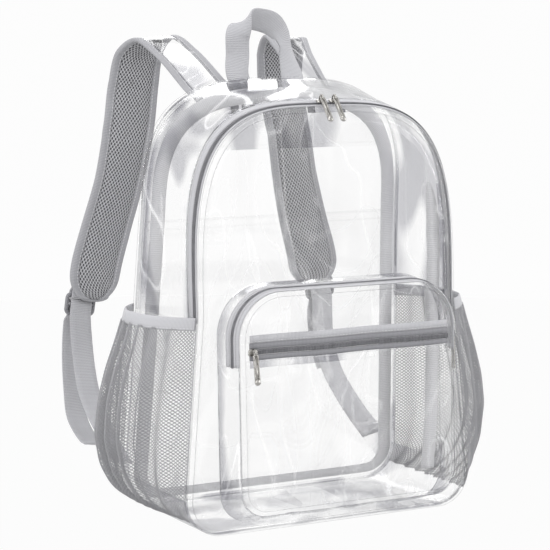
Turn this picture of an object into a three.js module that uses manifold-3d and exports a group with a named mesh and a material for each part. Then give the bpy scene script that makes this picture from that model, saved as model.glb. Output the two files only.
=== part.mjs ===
// A clear vinyl day backpack with gray webbing, spacer-mesh shoulder straps, net side pockets,
// a front pocket and nickel zip pulls. Millimetres, +Z up, the front faces -Y, and the origin
// is the middle of the flat base.
import * as THREE from 'three';
import * as BufferGeometryUtils from 'three/addons/utils/BufferGeometryUtils.js';
import Module from 'manifold-3d';

const wasm = await Module();
wasm.setup();

// Clearances and sheet goods
const GAP = 0.3; // between pieces that are sewn or pressed together
const VINYL = 1.2; // clear sheet
const WEBBING = 1.6; // woven strap
const WEBBING_WIDTH = 25;
const BINDING_TAPE = 2.0; // bound seam allowance
const TAPE = 1.2; // zip tape

// Panels: half widths, heights from the base, corner radius and how square the arch is
const FRONT = { base: 160, waist: 144, spring: 211, top: 406, fullness: 3.47, corner: 36 };
const BACK = { base: 160, waist: 149, spring: 301, top: 434, fullness: 3.07, corner: 36 };
const BASE_DEPTH = 157; // between the panels at the base
const FRONT_LEAN = 14.5; // how far the front panel leans back over its height
const BACK_LEAN = 34.5; // how far the back panel leans forward over its height

// Seams
const PIPING = 5; // diameter of the clear piping
const BINDING_WIDTH = 14.5; // of the tape that binds the allowance's edge
const ALLOWANCE = 6.6; // clear seam allowance between the gusset and that tape
const BINDING_STAND = 8; // the binding stands this far inside the seam
const FRONT_BINDING_TOP = 330; // the front binding hangs loose on the right below this height
const FRONT_BINDING_FOOT = 38;
const FRONT_BINDING_SWAY = 27; // how far it drifts inwards at its foot

// Main zip, along the gusset behind the front piping
const ZIP_FOOT = FRONT.spring - 6; // height where it ends at the side pockets
const ZIP_COIL = 5; // width of the closed coil
const ZIP_COIL_RISE = 1.0; // the coil stands this far out of the tape
const FRONT_TAPE = 1.4; // width of tape that shows in front of the coil
const REAR_TAPE = 8;
const EDGE_ROLL = 2.4; // the gusset stands this far out of a straight line between the seams
const EDGE_ROLL_WIDTH = 20; // and does so within this distance of the front seam

// Sheets inside the back panel
const SLEEVE_TOP = BACK.top - 141; // hem of the inner sleeve
const FACING_FOOT = BACK.top - 70; // lower edge of the upper facing

// Front pocket: the seam on the front panel, and the face in front of it
const POCKET_SEAM = { half: 126, foot: 11, top: 241, crown: 50, heel: 30 };
const POCKET_FACE = { half: 120, foot: 24, top: 236, crown: 45, heel: 26 };
const POCKET_DEPTH = 40;
const POCKET_ZIP_FOOT = 165; // height where the pocket's zip ends on both sides
const POCKET_REAR_STRIP = 14; // clear strip between the panel and the zip
const POCKET_TAPE = 5;

// Zip across the pocket's face
const FACE_ZIP = 181; // height of the coil
const FACE_TAPE_UPPER = 6;
const FACE_TAPE_LOWER = 5;
const FACE_ZIP_END = 4; // the zip stops this far inside the piping

// Sliders and their pulls
const SLIDER = { length: 9, width: 6, plate: 1.6 };
const BAIL = { bar: 1.1, across: 1.2, leg: 1.1, lift: 4.4 };
const PULL = { width: 4.6, length: 30, plate: 1.2, eye: 2.2, bore: 1.25, hole: 1.2 };
const MAIN_PULL_HANG = 30; // degrees below the slider's own plane
const FACE_PULL_HANG = -7;
const MAIN_SLIDERS = [
  { name: 'main_slider_left', pull: 'main_pull_left', along: -4 },
  { name: 'main_slider_right', pull: 'main_pull_right', along: 10 },
];
const FACE_SLIDER_FROM_MIDDLE = 108.5; // to the left
const POCKET_SLIDER_ABOVE_FOOT = 9; // on the right end of the pocket's zip

// Side net pockets
const NET = 1.5;
const NET_STAND = 0.9; // clear of the side panel at the edges
const POCKET_BAND_TOP = FRONT.spring;
const POCKET_BAND_HEIGHT = 12;
const POCKET_NET_FOOT = 8;
const POCKET_BULGE = 54; // how far the net stands out from the side
const NET_FOLDS = 9;
const NET_FOLD_DEPTH = 2.6;
// Share of the pocket's height, and the share of its bulge there
const NET_PROFILE = [
  { height: 0.0, bulge: 0.02 },
  { height: 0.03, bulge: 0.24 },
  { height: 0.11, bulge: 0.58 },
  { height: 0.22, bulge: 0.84 },
  { height: 0.38, bulge: 1.0 },
  { height: 0.55, bulge: 0.97 },
  { height: 0.7, bulge: 0.86 },
  { height: 0.85, bulge: 0.68 },
  { height: 1.0, bulge: 0.54 },
];

// Haul handle. Each row is a station of the loop from one foot to the other: its middle as
// shares of the handle's reach, stand and height, and how far its width turns from level
const HANDLE_REACH = 28.5; // from the middle of the bag to a leg
const HANDLE_STAND = 26; // behind the back panel
const HANDLE_HEIGHT = 92;
const HANDLE_FOOT = BACK.top - 36; // height of its sewn feet
const HANDLE_ROWS = [
  { across: -0.85, back: 0.0, up: 0.0, turn: 0, tip: 0 },
  { across: -0.85, back: 0.12, up: 0.13, turn: 0, tip: 0 },
  { across: -0.94, back: 0.78, up: 0.38, turn: 0, tip: 0 },
  { across: -1.03, back: 1.0, up: 0.68, turn: 6, tip: 4 },
  { across: -0.9, back: 1.05, up: 0.86, turn: 30, tip: 16 },
  { across: -0.55, back: 1.02, up: 0.96, turn: 68, tip: 32 },
  { across: -0.05, back: 0.98, up: 0.98, turn: 92, tip: 36 },
  { across: 0.45, back: 0.98, up: 0.92, turn: 112, tip: 34 },
  { across: 0.82, back: 1.0, up: 0.8, turn: 140, tip: 24 },
  { across: 1.0, back: 1.0, up: 0.62, turn: 172, tip: 6 },
  { across: 0.94, back: 0.78, up: 0.38, turn: 180, tip: 0 },
  { across: 0.85, back: 0.12, up: 0.13, turn: 180, tip: 0 },
  { across: 0.85, back: 0.0, up: 0.0, turn: 180, tip: 0 },
];

// Shoulder straps. Each row is a station from the sewn root to the rounded end: the middle as
// shares of the bag's half width, of the strap's reach behind the back panel and of the bag's
// height, the width as a share, and how far the outer edge trails back and drops, in shares of
// the width. padded goes from the thin clear part to the full pad
const STRAP_WIDTH = 57;
const STRAP_REACH = 154;
const STRAP_PAD = 7;
const STRAP_EDGE_WIDTH = 9; // of the binding
const STRAP_EDGE_THIN = 2.4;
const STRAP_END_ROUND = 30; // length of the rounded end
const PAD_START = 0.3; // share of the strap's length where the mesh pad begins
const STRAP_ROWS = [
  { spread: 0.39, reach: 0.0, rise: 0.913, width: 0.8, trail: 0, drop: 0.1, padded: 0 },
  { spread: 0.391, reach: 0.035, rise: 0.95, width: 0.8, trail: 0, drop: 0.18, padded: 0 },
  { spread: 0.397, reach: 0.21, rise: 0.982, width: 0.81, trail: 0, drop: 0.24, padded: 0 },
  { spread: 0.434, reach: 0.53, rise: 1.051, width: 0.83, trail: 0, drop: 0.15, padded: 0 },
  { spread: 0.485, reach: 0.76, rise: 1.087, width: 0.88, trail: 0, drop: 0.07, padded: 0.4 },
  { spread: 0.53, reach: 0.91, rise: 1.052, width: 0.97, trail: 0.04, drop: 0.13, padded: 0.9 },
  { spread: 0.553, reach: 0.965, rise: 0.975, width: 0.98, trail: 0.07, drop: 0.14, padded: 1 },
  { spread: 0.59, reach: 0.95, rise: 0.887, width: 0.98, trail: 0.09, drop: 0, padded: 1 },
  { spread: 0.616, reach: 0.945, rise: 0.836, width: 0.97, trail: 0.09, drop: 0, padded: 1 },
  { spread: 0.668, reach: 0.965, rise: 0.736, width: 0.96, trail: 0.03, drop: 0, padded: 1 },
  { spread: 0.752, reach: 0.995, rise: 0.623, width: 1.0, trail: -0.03, drop: 0, padded: 1 },
  { spread: 0.825, reach: 1.0, rise: 0.528, width: 1.03, trail: -0.07, drop: 0, padded: 1 },
  { spread: 0.856, reach: 1.0, rise: 0.446, width: 1.03, trail: -0.07, drop: 0, padded: 1 },
];

// Ladder-lock buckle on each strap's end. Its outer bar holds the strap's loop, and the
// lower webbing hooks round its middle bar
const BUCKLE = { width: 36, height: 25, thick: 4, bar: 4.5 };
const BUCKLE_DROP = 4; // its middle is this far below the strap's end
const BUCKLE_LIFT = 7.5; // and this far out of the strap's middle
const BUCKLE_SIDE = 9; // and to its outer side
const LOOP_LENGTH = 18; // the strap's loop is sewn on over this length
// Way of the webbing round the middle bar: above it and out of the buckle's plane
const HOOK_ROWS = [
  { above: -13, out: -3.8 },
  { above: -5, out: -3.3 },
  { above: 1.5, out: -3.1 },
  { above: 4.1, out: -1.9 },
  { above: 4.8, out: 0 },
  { above: 4.1, out: 1.9 },
  { above: 1.5, out: 3.1 },
  { above: -5, out: 3.2 },
  { above: -12, out: 3.6 },
];
// Rows of the webbing from its foot to the buckle: shares of the way from the foot sideways,
// backwards and up, and how far its width is turned from level towards the seam
const WEBBING_ROWS = [
  { side: 0.0, back: 0.0, up: 0.0, turn: 1 },
  { side: 0.02, back: 0.3, up: 0.12, turn: 0.8 },
  { side: 0.12, back: 0.6, up: 0.27, turn: 0.45 },
  { side: 0.4, back: 0.78, up: 0.4, turn: 0.2 },
  { side: 0.75, back: 0.92, up: 0.62, turn: 0.05 },
];
const WEBBING_FOOT_WIDTH = { across: 0.67, back: 0.54, up: 0.51 }; // direction at the foot
// The free ends go on from the buckle. The left one is long and curls forward at its end
const TAILS = {
  right: [
    { side: 1.0, back: 1.04, up: 0.8 },
    { side: 0.8, back: 0.995, up: 0.6 },
    { side: 0.6, back: 0.9, up: 0.44 },
    { side: 0.5, back: 0.86, up: 0.4 },
  ],
  left: [
    { side: 0.6, back: 1.12, up: 0.86 },
    { side: 0.25, back: 1.15, up: 0.64 },
    { side: 0.2, back: 1.12, up: 0.36 },
    { side: 0.2, back: 1.05, up: 0.17 },
    { side: 0.15, back: 0.76, up: 0.045 },
    { side: 0.1, back: 0.62, up: 0.035 },
  ],
};
const ANCHOR = { inset: 10, behind: 20, height: 42 }; // foot of the webbing from the back seam
const ANCHOR_TAB = { low: 14, high: 62, inset: 2.5 }; // clear tab on the back seam

// Steps of the curves
const STEPS = { bottom: 1, corner: 5, side: 2, arch: 16 };
const RIBBON_STEPS = 3; // between two stations of a ribbon
const NET_COLUMNS = 30;

const vinyl = new THREE.MeshStandardMaterial({ color: '#f4f5f6', roughness: 0.08, opacity: 0.3 });
const grayTape = new THREE.MeshStandardMaterial({ color: '#a9a9ab', roughness: 0.85 });
const darkCoil = new THREE.MeshStandardMaterial({ color: '#77777a', roughness: 0.5 });
const webbingGray = new THREE.MeshStandardMaterial({ color: '#b9b9bc', roughness: 0.85 });
const spacerMesh = new THREE.MeshStandardMaterial({ color: '#8f8f92', roughness: 0.9 });
const netGray = new THREE.MeshStandardMaterial({ color: '#c4c4c6', roughness: 0.8 });
const buckleGray = new THREE.MeshStandardMaterial({ color: '#6f6f72', roughness: 0.45 });
const nickel = new THREE.MeshStandardMaterial({ color: '#c9c4bc', roughness: 0.2, metalness: 1 });

const bag = new THREE.Group();
bag.name = 'clear_backpack';

const X = new THREE.Vector3(1, 0, 0);
const vec = (x, y, z) => new THREE.Vector3(x, y, z);
const mix = THREE.MathUtils.lerp;
const shareOf = (value, low, high) => (value - low) / (high - low);

function addPiece(name, geometry, material) {
  const mesh = new THREE.Mesh(geometry, material);
  mesh.name = name;
  bag.add(mesh);
  return mesh;
}

// Six times the volume inside a triangle list, with its sign
function signedVolume(points, faces) {
  let sum = 0;
  for (const [a, b, c] of faces) {
    sum += points[a].dot(vec(0, 0, 0).crossVectors(points[b], points[c]));
  }
  return sum;
}

function solidFrom(points, faces) {
  const outward = signedVolume(points, faces) > 0;
  const order = outward ? faces : faces.map(([a, b, c]) => [a, c, b]);
  const geometry = new THREE.BufferGeometry();
  geometry.setAttribute(
    'position',
    new THREE.Float32BufferAttribute(points.flatMap((p) => [p.x, p.y, p.z]), 3),
  );
  geometry.setIndex(order.flat());
  geometry.computeVertexNormals();
  return geometry;
}

// Joins rings of points, each with as many points, into a solid with flat ends, or into a
// closed loop
function loft(rings, closed = false) {
  const count = rings[0].length;
  const points = rings.flat();
  const faces = [];
  const spans = closed ? rings.length : rings.length - 1;
  for (let i = 0; i < spans; i += 1) {
    const low = i * count;
    const high = ((i + 1) % rings.length) * count;
    for (let j = 0; j < count; j += 1) {
      const next = (j + 1) % count;
      if (j < count / 2) {
        faces.push([low + j, low + next, high + next]);
        faces.push([low + j, high + next, high + j]);
      } else {
        faces.push([low + j, low + next, high + j]);
        faces.push([low + next, high + next, high + j]);
      }
    }
  }
  if (!closed) {
    const last = (rings.length - 1) * count;
    for (let j = 1; j < count - 1; j += 1) {
      faces.push([0, j + 1, j]);
      faces.push([last, last + j, last + j + 1]);
    }
  }
  return solidFrom(points, faces);
}

// A wall between an outer and an inner grid of points, closed round its rim
function gridWall(outer, inner) {
  const rows = outer.length;
  const columns = outer[0].length;
  const points = [...outer.flat(), ...inner.flat()];
  const shift = rows * columns;
  const at = (i, j) => i * columns + j;
  const faces = [];
  for (let i = 0; i < rows - 1; i += 1) {
    for (let j = 0; j < columns - 1; j += 1) {
      const [a, b, c, d] = [at(i, j), at(i, j + 1), at(i + 1, j + 1), at(i + 1, j)];
      faces.push([a, b, c], [a, c, d]);
      faces.push([a + shift, c + shift, b + shift], [a + shift, d + shift, c + shift]);
    }
  }
  const rim = [];
  for (let j = 0; j < columns - 1; j += 1) rim.push(at(0, j));
  for (let i = 0; i < rows - 1; i += 1) rim.push(at(i, columns - 1));
  for (let j = columns - 1; j > 0; j -= 1) rim.push(at(rows - 1, j));
  for (let i = rows - 1; i > 0; i -= 1) rim.push(at(i, 0));
  rim.forEach((a, k) => {
    const b = rim[(k + 1) % rim.length];
    faces.push([b, a, a + shift], [b, a + shift, b + shift]);
  });
  return solidFrom(points, faces);
}

// Point on the straight right side of a panel, or on the corner under it
function sideAt(size, height, inset) {
  const base = size.base - inset;
  if (height < size.corner) {
    const corner = size.corner - inset;
    const level = 1 - height / size.corner;
    const x = base - corner + corner * Math.sqrt(1 - level * level);
    return { x, z: inset + corner * (1 - level) };
  }
  const share = shareOf(height, size.corner, size.spring);
  return { x: mix(base, size.waist - inset, share), z: height };
}

// Point above the height of the zip's foot: way goes from 0 there to 1 at the spring of the
// arch and 2 at its top
function crownAt(size, way, inset) {
  if (way < 1) return sideAt(size, mix(ZIP_FOOT, size.spring, way), inset);
  const turn = ((way - 1) * Math.PI) / 2;
  const bow = 2 / size.fullness;
  const rise = size.top - inset - size.spring;
  return {
    x: (size.waist - inset) * Math.max(Math.cos(turn), 0) ** bow,
    z: size.spring + rise * Math.sin(turn) ** bow,
  };
}

// Lengths along the crown, so that its stations are evenly spaced
function crownTable(size) {
  const table = [{ way: 0, length: 0 }];
  const fine = 600;
  let last = crownAt(size, 0, 0);
  for (let k = 1; k <= fine; k += 1) {
    const way = (2 * k) / fine;
    const next = crownAt(size, way, 0);
    const step = Math.hypot(next.x - last.x, next.z - last.z);
    table.push({ way, length: table[k - 1].length + step });
    last = next;
  }
  return table;
}

const crownTables = new Map([FRONT, BACK].map((size) => [size, crownTable(size)]));

function crownWay(size, share) {
  const table = crownTables.get(size);
  const wanted = share * table[table.length - 1].length;
  const k = Math.max(table.findIndex((row) => row.length >= wanted - 1e-9), 1);
  const part = shareOf(wanted, table[k - 1].length, table[k].length);
  return mix(table[k - 1].way, table[k].way, part);
}

// Outline of a panel. t goes from 0 at the middle of the base up the right side, past 1 and 2
// at the ends of the corner and 3 at the zip's foot, to 4 at the top, and on down to 8
function outlineAt(size, t, inset) {
  const right = t <= 4 ? t : 8 - t;
  const sign = t <= 4 ? 1 : -1;
  const segment = Math.min(Math.floor(right), 3);
  const share = right - segment;
  if (segment === 0) return { x: sign * share * (size.base - size.corner), z: inset };
  if (segment === 1) {
    const turn = (share * Math.PI) / 2;
    const corner = size.corner - inset;
    const x = size.base - size.corner + corner * Math.sin(turn);
    return { x: sign * x, z: inset + corner - corner * Math.cos(turn) };
  }
  const { x, z } = segment === 2
    ? sideAt(size, mix(size.corner, ZIP_FOOT, share), inset)
    : crownAt(size, crownWay(size, share), inset);
  return { x: sign * x, z };
}

const SEAM = PIPING + GAP; // from the outside of a seam to the sheet beside the piping
const PANEL_REAR = (PIPING - VINYL) / 2;

const frontY = (z) => -BASE_DEPTH / 2 + (FRONT_LEAN * z) / FRONT.top;
const backY = (z) => BASE_DEPTH / 2 - (BACK_LEAN * z) / BACK.top;

function frontPoint(t, inset) {
  const { x, z } = outlineAt(FRONT, t, inset);
  return vec(x, frontY(z), z);
}

function backPoint(t, inset) {
  const { x, z } = outlineAt(BACK, t, inset);
  return vec(x, backY(z), z);
}

// Point on the gusset, or inside it by inset, so many millimetres behind the front seam or in
// front of the back seam
function fromFront(t, inset, distance) {
  const a = frontPoint(t, inset);
  const b = backPoint(t, inset);
  return a.clone().lerp(b, distance / a.distanceTo(b));
}

function fromBack(t, inset, distance) {
  const a = frontPoint(t, inset);
  const b = backPoint(t, inset);
  return b.clone().lerp(a, distance / a.distanceTo(b));
}

// Where the zip and the gusset behind it lie: the soft edge rolls out behind the front seam
function zipPoint(t, inset, distance) {
  const up = THREE.MathUtils.clamp(Math.min(t, 8 - t) - 3, 0, 0.3) / 0.3;
  const near = Math.min(distance / EDGE_ROLL_WIDTH, 1);
  const roll = EDGE_ROLL * up * Math.sin((near * Math.PI) / 2);
  return fromFront(t, inset - roll, distance);
}

// Stations between two values of t, with every corner between the outline's stretches
function stationsBetween(start, end) {
  const stretch = [STEPS.bottom, STEPS.corner, STEPS.side, STEPS.arch];
  const list = [start];
  for (let whole = Math.floor(start); whole < end; whole += 1) {
    const kind = whole < 4 ? whole : 7 - whole;
    for (let k = 0; k < stretch[kind]; k += 1) {
      const t = whole + k / stretch[kind];
      if (t > start + 0.02 && t < end - 0.02) list.push(t);
    }
  }
  list.push(end);
  return list;
}

const loopStations = stationsBetween(0, 8).slice(0, -1);

// A flat strip of sheet along the gusset. near and far give its two edges at a station
function gussetStrip(start, end, near, far, inset, thick) {
  const rings = stationsBetween(start, end).map((t) => [
    near(t, inset),
    far(t, inset),
    far(t, inset + thick),
    near(t, inset + thick),
  ]);
  return loft(rings);
}

// A panel inside its seam, so far behind the seam's own plane
function panelSheet(point, distance) {
  const ring = (far) => loopStations.map((t) => point(t, SEAM, far));
  return prism(ring(distance), ring(distance + VINYL));
}

// A solid between two like outlines that face each other
function prism(front, back) {
  const flat = front.map((p) => new THREE.Vector2(p.x, p.z));
  const triangles = THREE.ShapeUtils.triangulateShape(flat, []);
  const count = front.length;
  const faces = [];
  triangles.forEach(([a, b, c]) => {
    faces.push([a, b, c], [a + count, c + count, b + count]);
  });
  const turn = THREE.ShapeUtils.isClockWise(flat) ? 1 : -1;
  for (let j = 0; j < count; j += 1) {
    const next = (j + 1) % count;
    const side = [
      [next, j, j + count],
      [next, j + count, next + count],
    ];
    const [a, b, c] = triangles[0];
    const area = new THREE.Vector2().subVectors(flat[b], flat[a])
      .cross(new THREE.Vector2().subVectors(flat[c], flat[a]));
    const same = area < 0 === turn > 0;
    side.forEach((f) => faces.push(same ? f : [f[0], f[2], f[1]]));
  }
  return solidFrom([...front, ...back], faces);
}

// Round cord along the front or back seam, with six sides and a flat underside
function pipingAround(middleOf, count = 6) {
  const rings = loopStations.map((t) => middleOf(t, count));
  return loft(rings, true);
}

function frontPipingRing(t, count) {
  return Array.from({ length: count }, (_, k) => {
    const turn = ((k + 0.5) / count) * 2 * Math.PI;
    const radius = PIPING / 2 / Math.cos(Math.PI / count);
    const inset = PIPING / 2 + radius * Math.cos(turn);
    return fromFront(t, Math.max(inset, 0), PIPING / 2 + radius * Math.sin(turn));
  });
}

function backPipingRing(t, count) {
  return Array.from({ length: count }, (_, k) => {
    const turn = ((k + 0.5) / count) * 2 * Math.PI;
    const radius = PIPING / 2 / Math.cos(Math.PI / count);
    const inset = PIPING / 2 + radius * Math.cos(turn);
    return fromBack(t, Math.max(inset, 0), PIPING / 2 + radius * Math.sin(turn));
  });
}

// Ribbons. A frame has a middle, the direction of its width, its length direction and the
// direction out of its outer face
function smoothFrames(middles, widths, values) {
  const path = new THREE.CatmullRomCurve3(middles, false, 'centripetal');
  const wide = new THREE.CatmullRomCurve3(widths, false, 'centripetal');
  const spans = middles.length - 1;
  const total = spans * RIBBON_STEPS;
  return Array.from({ length: total + 1 }, (_, k) => {
    const share = k / total;
    const position = share * spans;
    const low = Math.min(Math.floor(position), spans - 1);
    const part = position - low;
    const along = path.getTangent(share);
    const across = wide.getPoint(share);
    across.addScaledVector(along, -across.dot(along)).normalize();
    const out = vec(0, 0, 0).crossVectors(across, along).normalize();
    const own = {};
    Object.keys(values[0]).forEach((key) => {
      own[key] = mix(values[low][key], values[low + 1][key], part);
    });
    return { share, middle: path.getPoint(share), along, across, out, ...own };
  });
}

// Section of a ribbon between two widths and two heights over its middle
function ribbonRing(frame, left, right, low, high) {
  const at = (w, n) =>
    frame.middle.clone().addScaledVector(frame.across, w).addScaledVector(frame.out, n);
  return [at(left, low), at(right, low), at(right, high), at(left, high)];
}

const mirrored = (geometry) => {
  const copy = geometry.clone();
  copy.scale(-1, 1, 1);
  const index = Array.from(copy.index.array);
  for (let i = 0; i < index.length; i += 3) {
    [index[i + 1], index[i + 2]] = [index[i + 2], index[i + 1]];
  }
  copy.setIndex(index);
  copy.computeVertexNormals();
  return copy;
};

function toManifold(geometry) {
  const bare = geometry.clone();
  bare.deleteAttribute('normal');
  bare.deleteAttribute('uv');
  const merged = BufferGeometryUtils.mergeVertices(bare, 1e-4);
  return new wasm.Manifold(
    new wasm.Mesh({
      numProp: 3,
      vertProperties: Float32Array.from(merged.attributes.position.array),
      triVerts: Uint32Array.from(merged.index.array),
    }),
  );
}

function fromManifold(solid) {
  const mesh = solid.getMesh();
  const geometry = new THREE.BufferGeometry();
  geometry.setAttribute('position', new THREE.BufferAttribute(mesh.vertProperties, 3));
  geometry.setIndex(Array.from(mesh.triVerts));
  geometry.computeVertexNormals();
  return geometry;
}

// Shell of the bag
function addShell() {
  addPiece('front_panel', panelSheet(fromFront, PANEL_REAR), vinyl);
  addPiece('back_panel', panelSheet(fromBack, PANEL_REAR), vinyl);
  addPiece('front_piping', pipingAround(frontPipingRing), vinyl);
  addPiece('back_piping', pipingAround(backPipingRing), vinyl);
  const foot = 3;
  const heel = 2;
  const gap = GAP / (ZIP_FOOT - FRONT.corner);
  const near = (t, inset) => fromFront(t, inset, SEAM);
  const far = (t, inset) => fromBack(t, inset, SEAM);
  const zipRear = SEAM + FRONT_TAPE + ZIP_COIL + REAR_TAPE + 3 * GAP;
  const behindZip = (t, inset) => zipPoint(t, inset, zipRear);
  const upper = gussetStrip(foot, 8 - foot, behindZip, far, 0, VINYL);
  addPiece('upper_gusset', upper, vinyl);
  const side = gussetStrip(heel + gap, foot - gap, near, far, 0, VINYL);
  addPiece('side_panel_right', side, vinyl);
  addPiece('side_panel_left', mirrored(side), vinyl);
  const rightFloor = stationsBetween(0, heel);
  const leftFloor = rightFloor.slice(1).reverse();
  const ringAt = (t, sign) =>
    [near(t, 0), far(t, 0), far(t, VINYL), near(t, VINYL)].map((p) => vec(sign * p.x, p.y, p.z));
  const rings = [
    ...leftFloor.map((t) => ringAt(t, -1)),
    ...rightFloor.map((t) => ringAt(t, 1)),
  ];
  addPiece('bottom_panel', loft(rings), vinyl);
}

// Bound seam allowances inside the bag
function addBindings() {
  const root = VINYL + GAP;
  const edge = root + ALLOWANCE + BINDING_WIDTH;
  const backRings = loopStations.map((t) => [
    fromBack(t, root, SEAM + BINDING_STAND - BINDING_TAPE),
    fromBack(t, root, SEAM + BINDING_STAND),
    fromBack(t, edge, SEAM + BINDING_STAND),
    fromBack(t, edge, SEAM + BINDING_STAND - BINDING_TAPE),
  ]);
  addPiece('back_binding', loft(backRings, true), grayTape);
  const steps = 12;
  const front = SEAM + BINDING_STAND - BINDING_TAPE;
  const rings = Array.from({ length: steps + 1 }, (_, k) => {
    const height = mix(FRONT_BINDING_FOOT, FRONT_BINDING_TOP, k / steps);
    const fall = 1 - k / steps;
    const drift = FRONT_BINDING_SWAY * fall * fall;
    const at = (inset, distance) => {
      const { x } = rightSideAt(FRONT, height);
      return vec(x - inset, frontY(height) + distance, height);
    };
    return [
      at(root, front),
      at(root, front + BINDING_TAPE),
      at(edge + drift, front + BINDING_TAPE),
      at(edge + drift, front),
    ];
  });
  addPiece('front_binding', loft(rings), grayTape);
}

// Right side of a panel's outline at a height
function rightSideAt(size, height) {
  if (height <= size.spring) return sideAt(size, height, 0);
  const rise = shareOf(height, size.spring, size.top);
  return { x: size.waist * (1 - rise ** size.fullness) ** (1 / size.fullness), z: height };
}

// Clear sheets sewn inside the back panel: a sleeve below, a facing above
function addInnerSheets() {
  const near = PANEL_REAR + VINYL + GAP;
  const sheet = (stations) => {
    const ring = (distance) => stations.map((t) => fromBack(t, SEAM + GAP, distance));
    return prism(ring(near), ring(near + VINYL));
  };
  const onCrown = (height) => {
    const length = 4000;
    let k = 0;
    while (k < length && outlineAt(BACK, 3 + k / length, 0).z < height) k += 1;
    return 3 + k / length;
  };
  const hem = onCrown(SLEEVE_TOP);
  const lower = [...stationsBetween(8 - hem, 8).slice(0, -1), ...stationsBetween(0, hem)];
  addPiece('inner_sleeve', sheet(lower), vinyl);
  const edge = onCrown(FACING_FOOT);
  addPiece('top_facing', sheet(stationsBetween(edge, 8 - edge)), vinyl);
}

// Zips
function addMainZip() {
  const foot = 3;
  const at = (distance) => (t, inset) => zipPoint(t, inset, distance);
  const coilFront = SEAM + FRONT_TAPE + GAP;
  const coilRear = coilFront + ZIP_COIL;
  const strip = (a, b, inset, thick) => gussetStrip(foot, 8 - foot, at(a), at(b), inset, thick);
  addPiece('main_zip_tape_front', strip(SEAM, coilFront - GAP, 0, TAPE), grayTape);
  addPiece('main_zip_coil', strip(coilFront, coilRear, -ZIP_COIL_RISE, TAPE + ZIP_COIL_RISE), darkCoil);
  const rear = strip(coilRear + GAP, coilRear + GAP + REAR_TAPE, 0, TAPE);
  addPiece('main_zip_tape_rear', rear, grayTape);
}

// The slider stands on its coil. Its own frame: x along the coil, y across it, z outwards
function sliderSolid() {
  const plate = new THREE.BoxGeometry(SLIDER.length, SLIDER.width, SLIDER.plate);
  plate.translate(0, 0, SLIDER.plate / 2);
  const half = PULL.width / 2 + GAP + BAIL.leg;
  const height = SLIDER.plate + BAIL.lift + BAIL.bar / 2;
  const frame = new THREE.Shape();
  frame.moveTo(-half, SLIDER.plate / 2);
  frame.lineTo(half, SLIDER.plate / 2);
  frame.lineTo(half, height);
  frame.lineTo(-half, height);
  frame.closePath();
  const window = new THREE.Path();
  window.moveTo(-half + BAIL.leg, SLIDER.plate / 2 + 0.2);
  window.lineTo(-half + BAIL.leg, height - BAIL.bar);
  window.lineTo(half - BAIL.leg, height - BAIL.bar);
  window.lineTo(half - BAIL.leg, SLIDER.plate / 2 + 0.2);
  window.closePath();
  frame.holes.push(window);
  const bail = new THREE.ExtrudeGeometry(frame, { depth: BAIL.across, bevelEnabled: false });
  bail.translate(0, 0, -BAIL.across / 2);
  bail.rotateX(Math.PI / 2);
  return fromManifold(toManifold(plate).add(toManifold(bail)));
}

// The pull has a rolled eye round the bar, and a plate that hangs down, here along -y
function pullSolid() {
  const sides = 10;
  const eye = new THREE.Shape();
  const thick = PULL.plate / 2;
  const turnIn = Math.asin(thick / PULL.eye);
  const count = sides;
  for (let k = 0; k <= count; k += 1) {
    const turn = -Math.PI / 2 + turnIn + (k / count) * (2 * Math.PI - 2 * turnIn);
    const point = [PULL.eye * Math.cos(turn), PULL.eye * Math.sin(turn)];
    if (k === 0) eye.moveTo(...point);
    else eye.lineTo(...point);
  }
  eye.lineTo(-thick, -PULL.length);
  eye.lineTo(thick, -PULL.length);
  eye.closePath();
  const bore = new THREE.Path();
  bore.absarc(0, 0, PULL.bore, 0, 2 * Math.PI, true);
  eye.holes.push(bore);
  const body = new THREE.ExtrudeGeometry(eye, { depth: PULL.width, bevelEnabled: false, curveSegments: 8 });
  body.translate(0, 0, -PULL.width / 2);
  // profile x is the plate's thickness, profile y its length, and the extrusion its width
  body.applyMatrix4(new THREE.Matrix4().set(0, 0, 1, 0, 0, 1, 0, 0, 1, 0, 0, 0, 0, 0, 0, 1));
  body.applyMatrix4(new THREE.Matrix4().makeScale(1, 1, -1));
  const turned = flipped(body);
  const hole = new THREE.CylinderGeometry(PULL.hole, PULL.hole, PULL.plate * 3, 10);
  hole.rotateX(Math.PI / 2);
  hole.translate(0, -PULL.length + PULL.width / 2, 0);
  return fromManifold(toManifold(turned).subtract(toManifold(hole)));
}

function flipped(geometry) {
  const merged = geometry.index ? geometry.clone() : BufferGeometryUtils.mergeVertices(geometry);
  merged.deleteAttribute('normal');
  merged.deleteAttribute('uv');
  const joined = BufferGeometryUtils.mergeVertices(merged, 1e-4);
  const index = Array.from(joined.index.array);
  const points = [];
  for (let i = 0; i < joined.attributes.position.count; i += 1) {
    points.push(vec(0, 0, 0).fromBufferAttribute(joined.attributes.position, i));
  }
  const faces = [];
  for (let i = 0; i < index.length; i += 3) faces.push([index[i], index[i + 1], index[i + 2]]);
  return solidFrom(points, faces);
}

// Puts a slider on a coil, and its pull on its bar, hanging by so many degrees from flat
function addSlider(names, seat, along, across, out, hang) {
  const frame = new THREE.Matrix4().makeBasis(along, across, out).setPosition(seat);
  const slider = sliderSolid();
  slider.applyMatrix4(frame);
  addPiece(names.slider, slider, nickel);
  const bar = SLIDER.plate + BAIL.lift;
  const pull = pullSolid();
  pull.applyMatrix4(new THREE.Matrix4().makeRotationX(THREE.MathUtils.degToRad(hang)));
  pull.applyMatrix4(new THREE.Matrix4().makeTranslation(0, 0, bar));
  pull.applyMatrix4(frame);
  addPiece(names.pull, pull, nickel);
}

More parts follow.
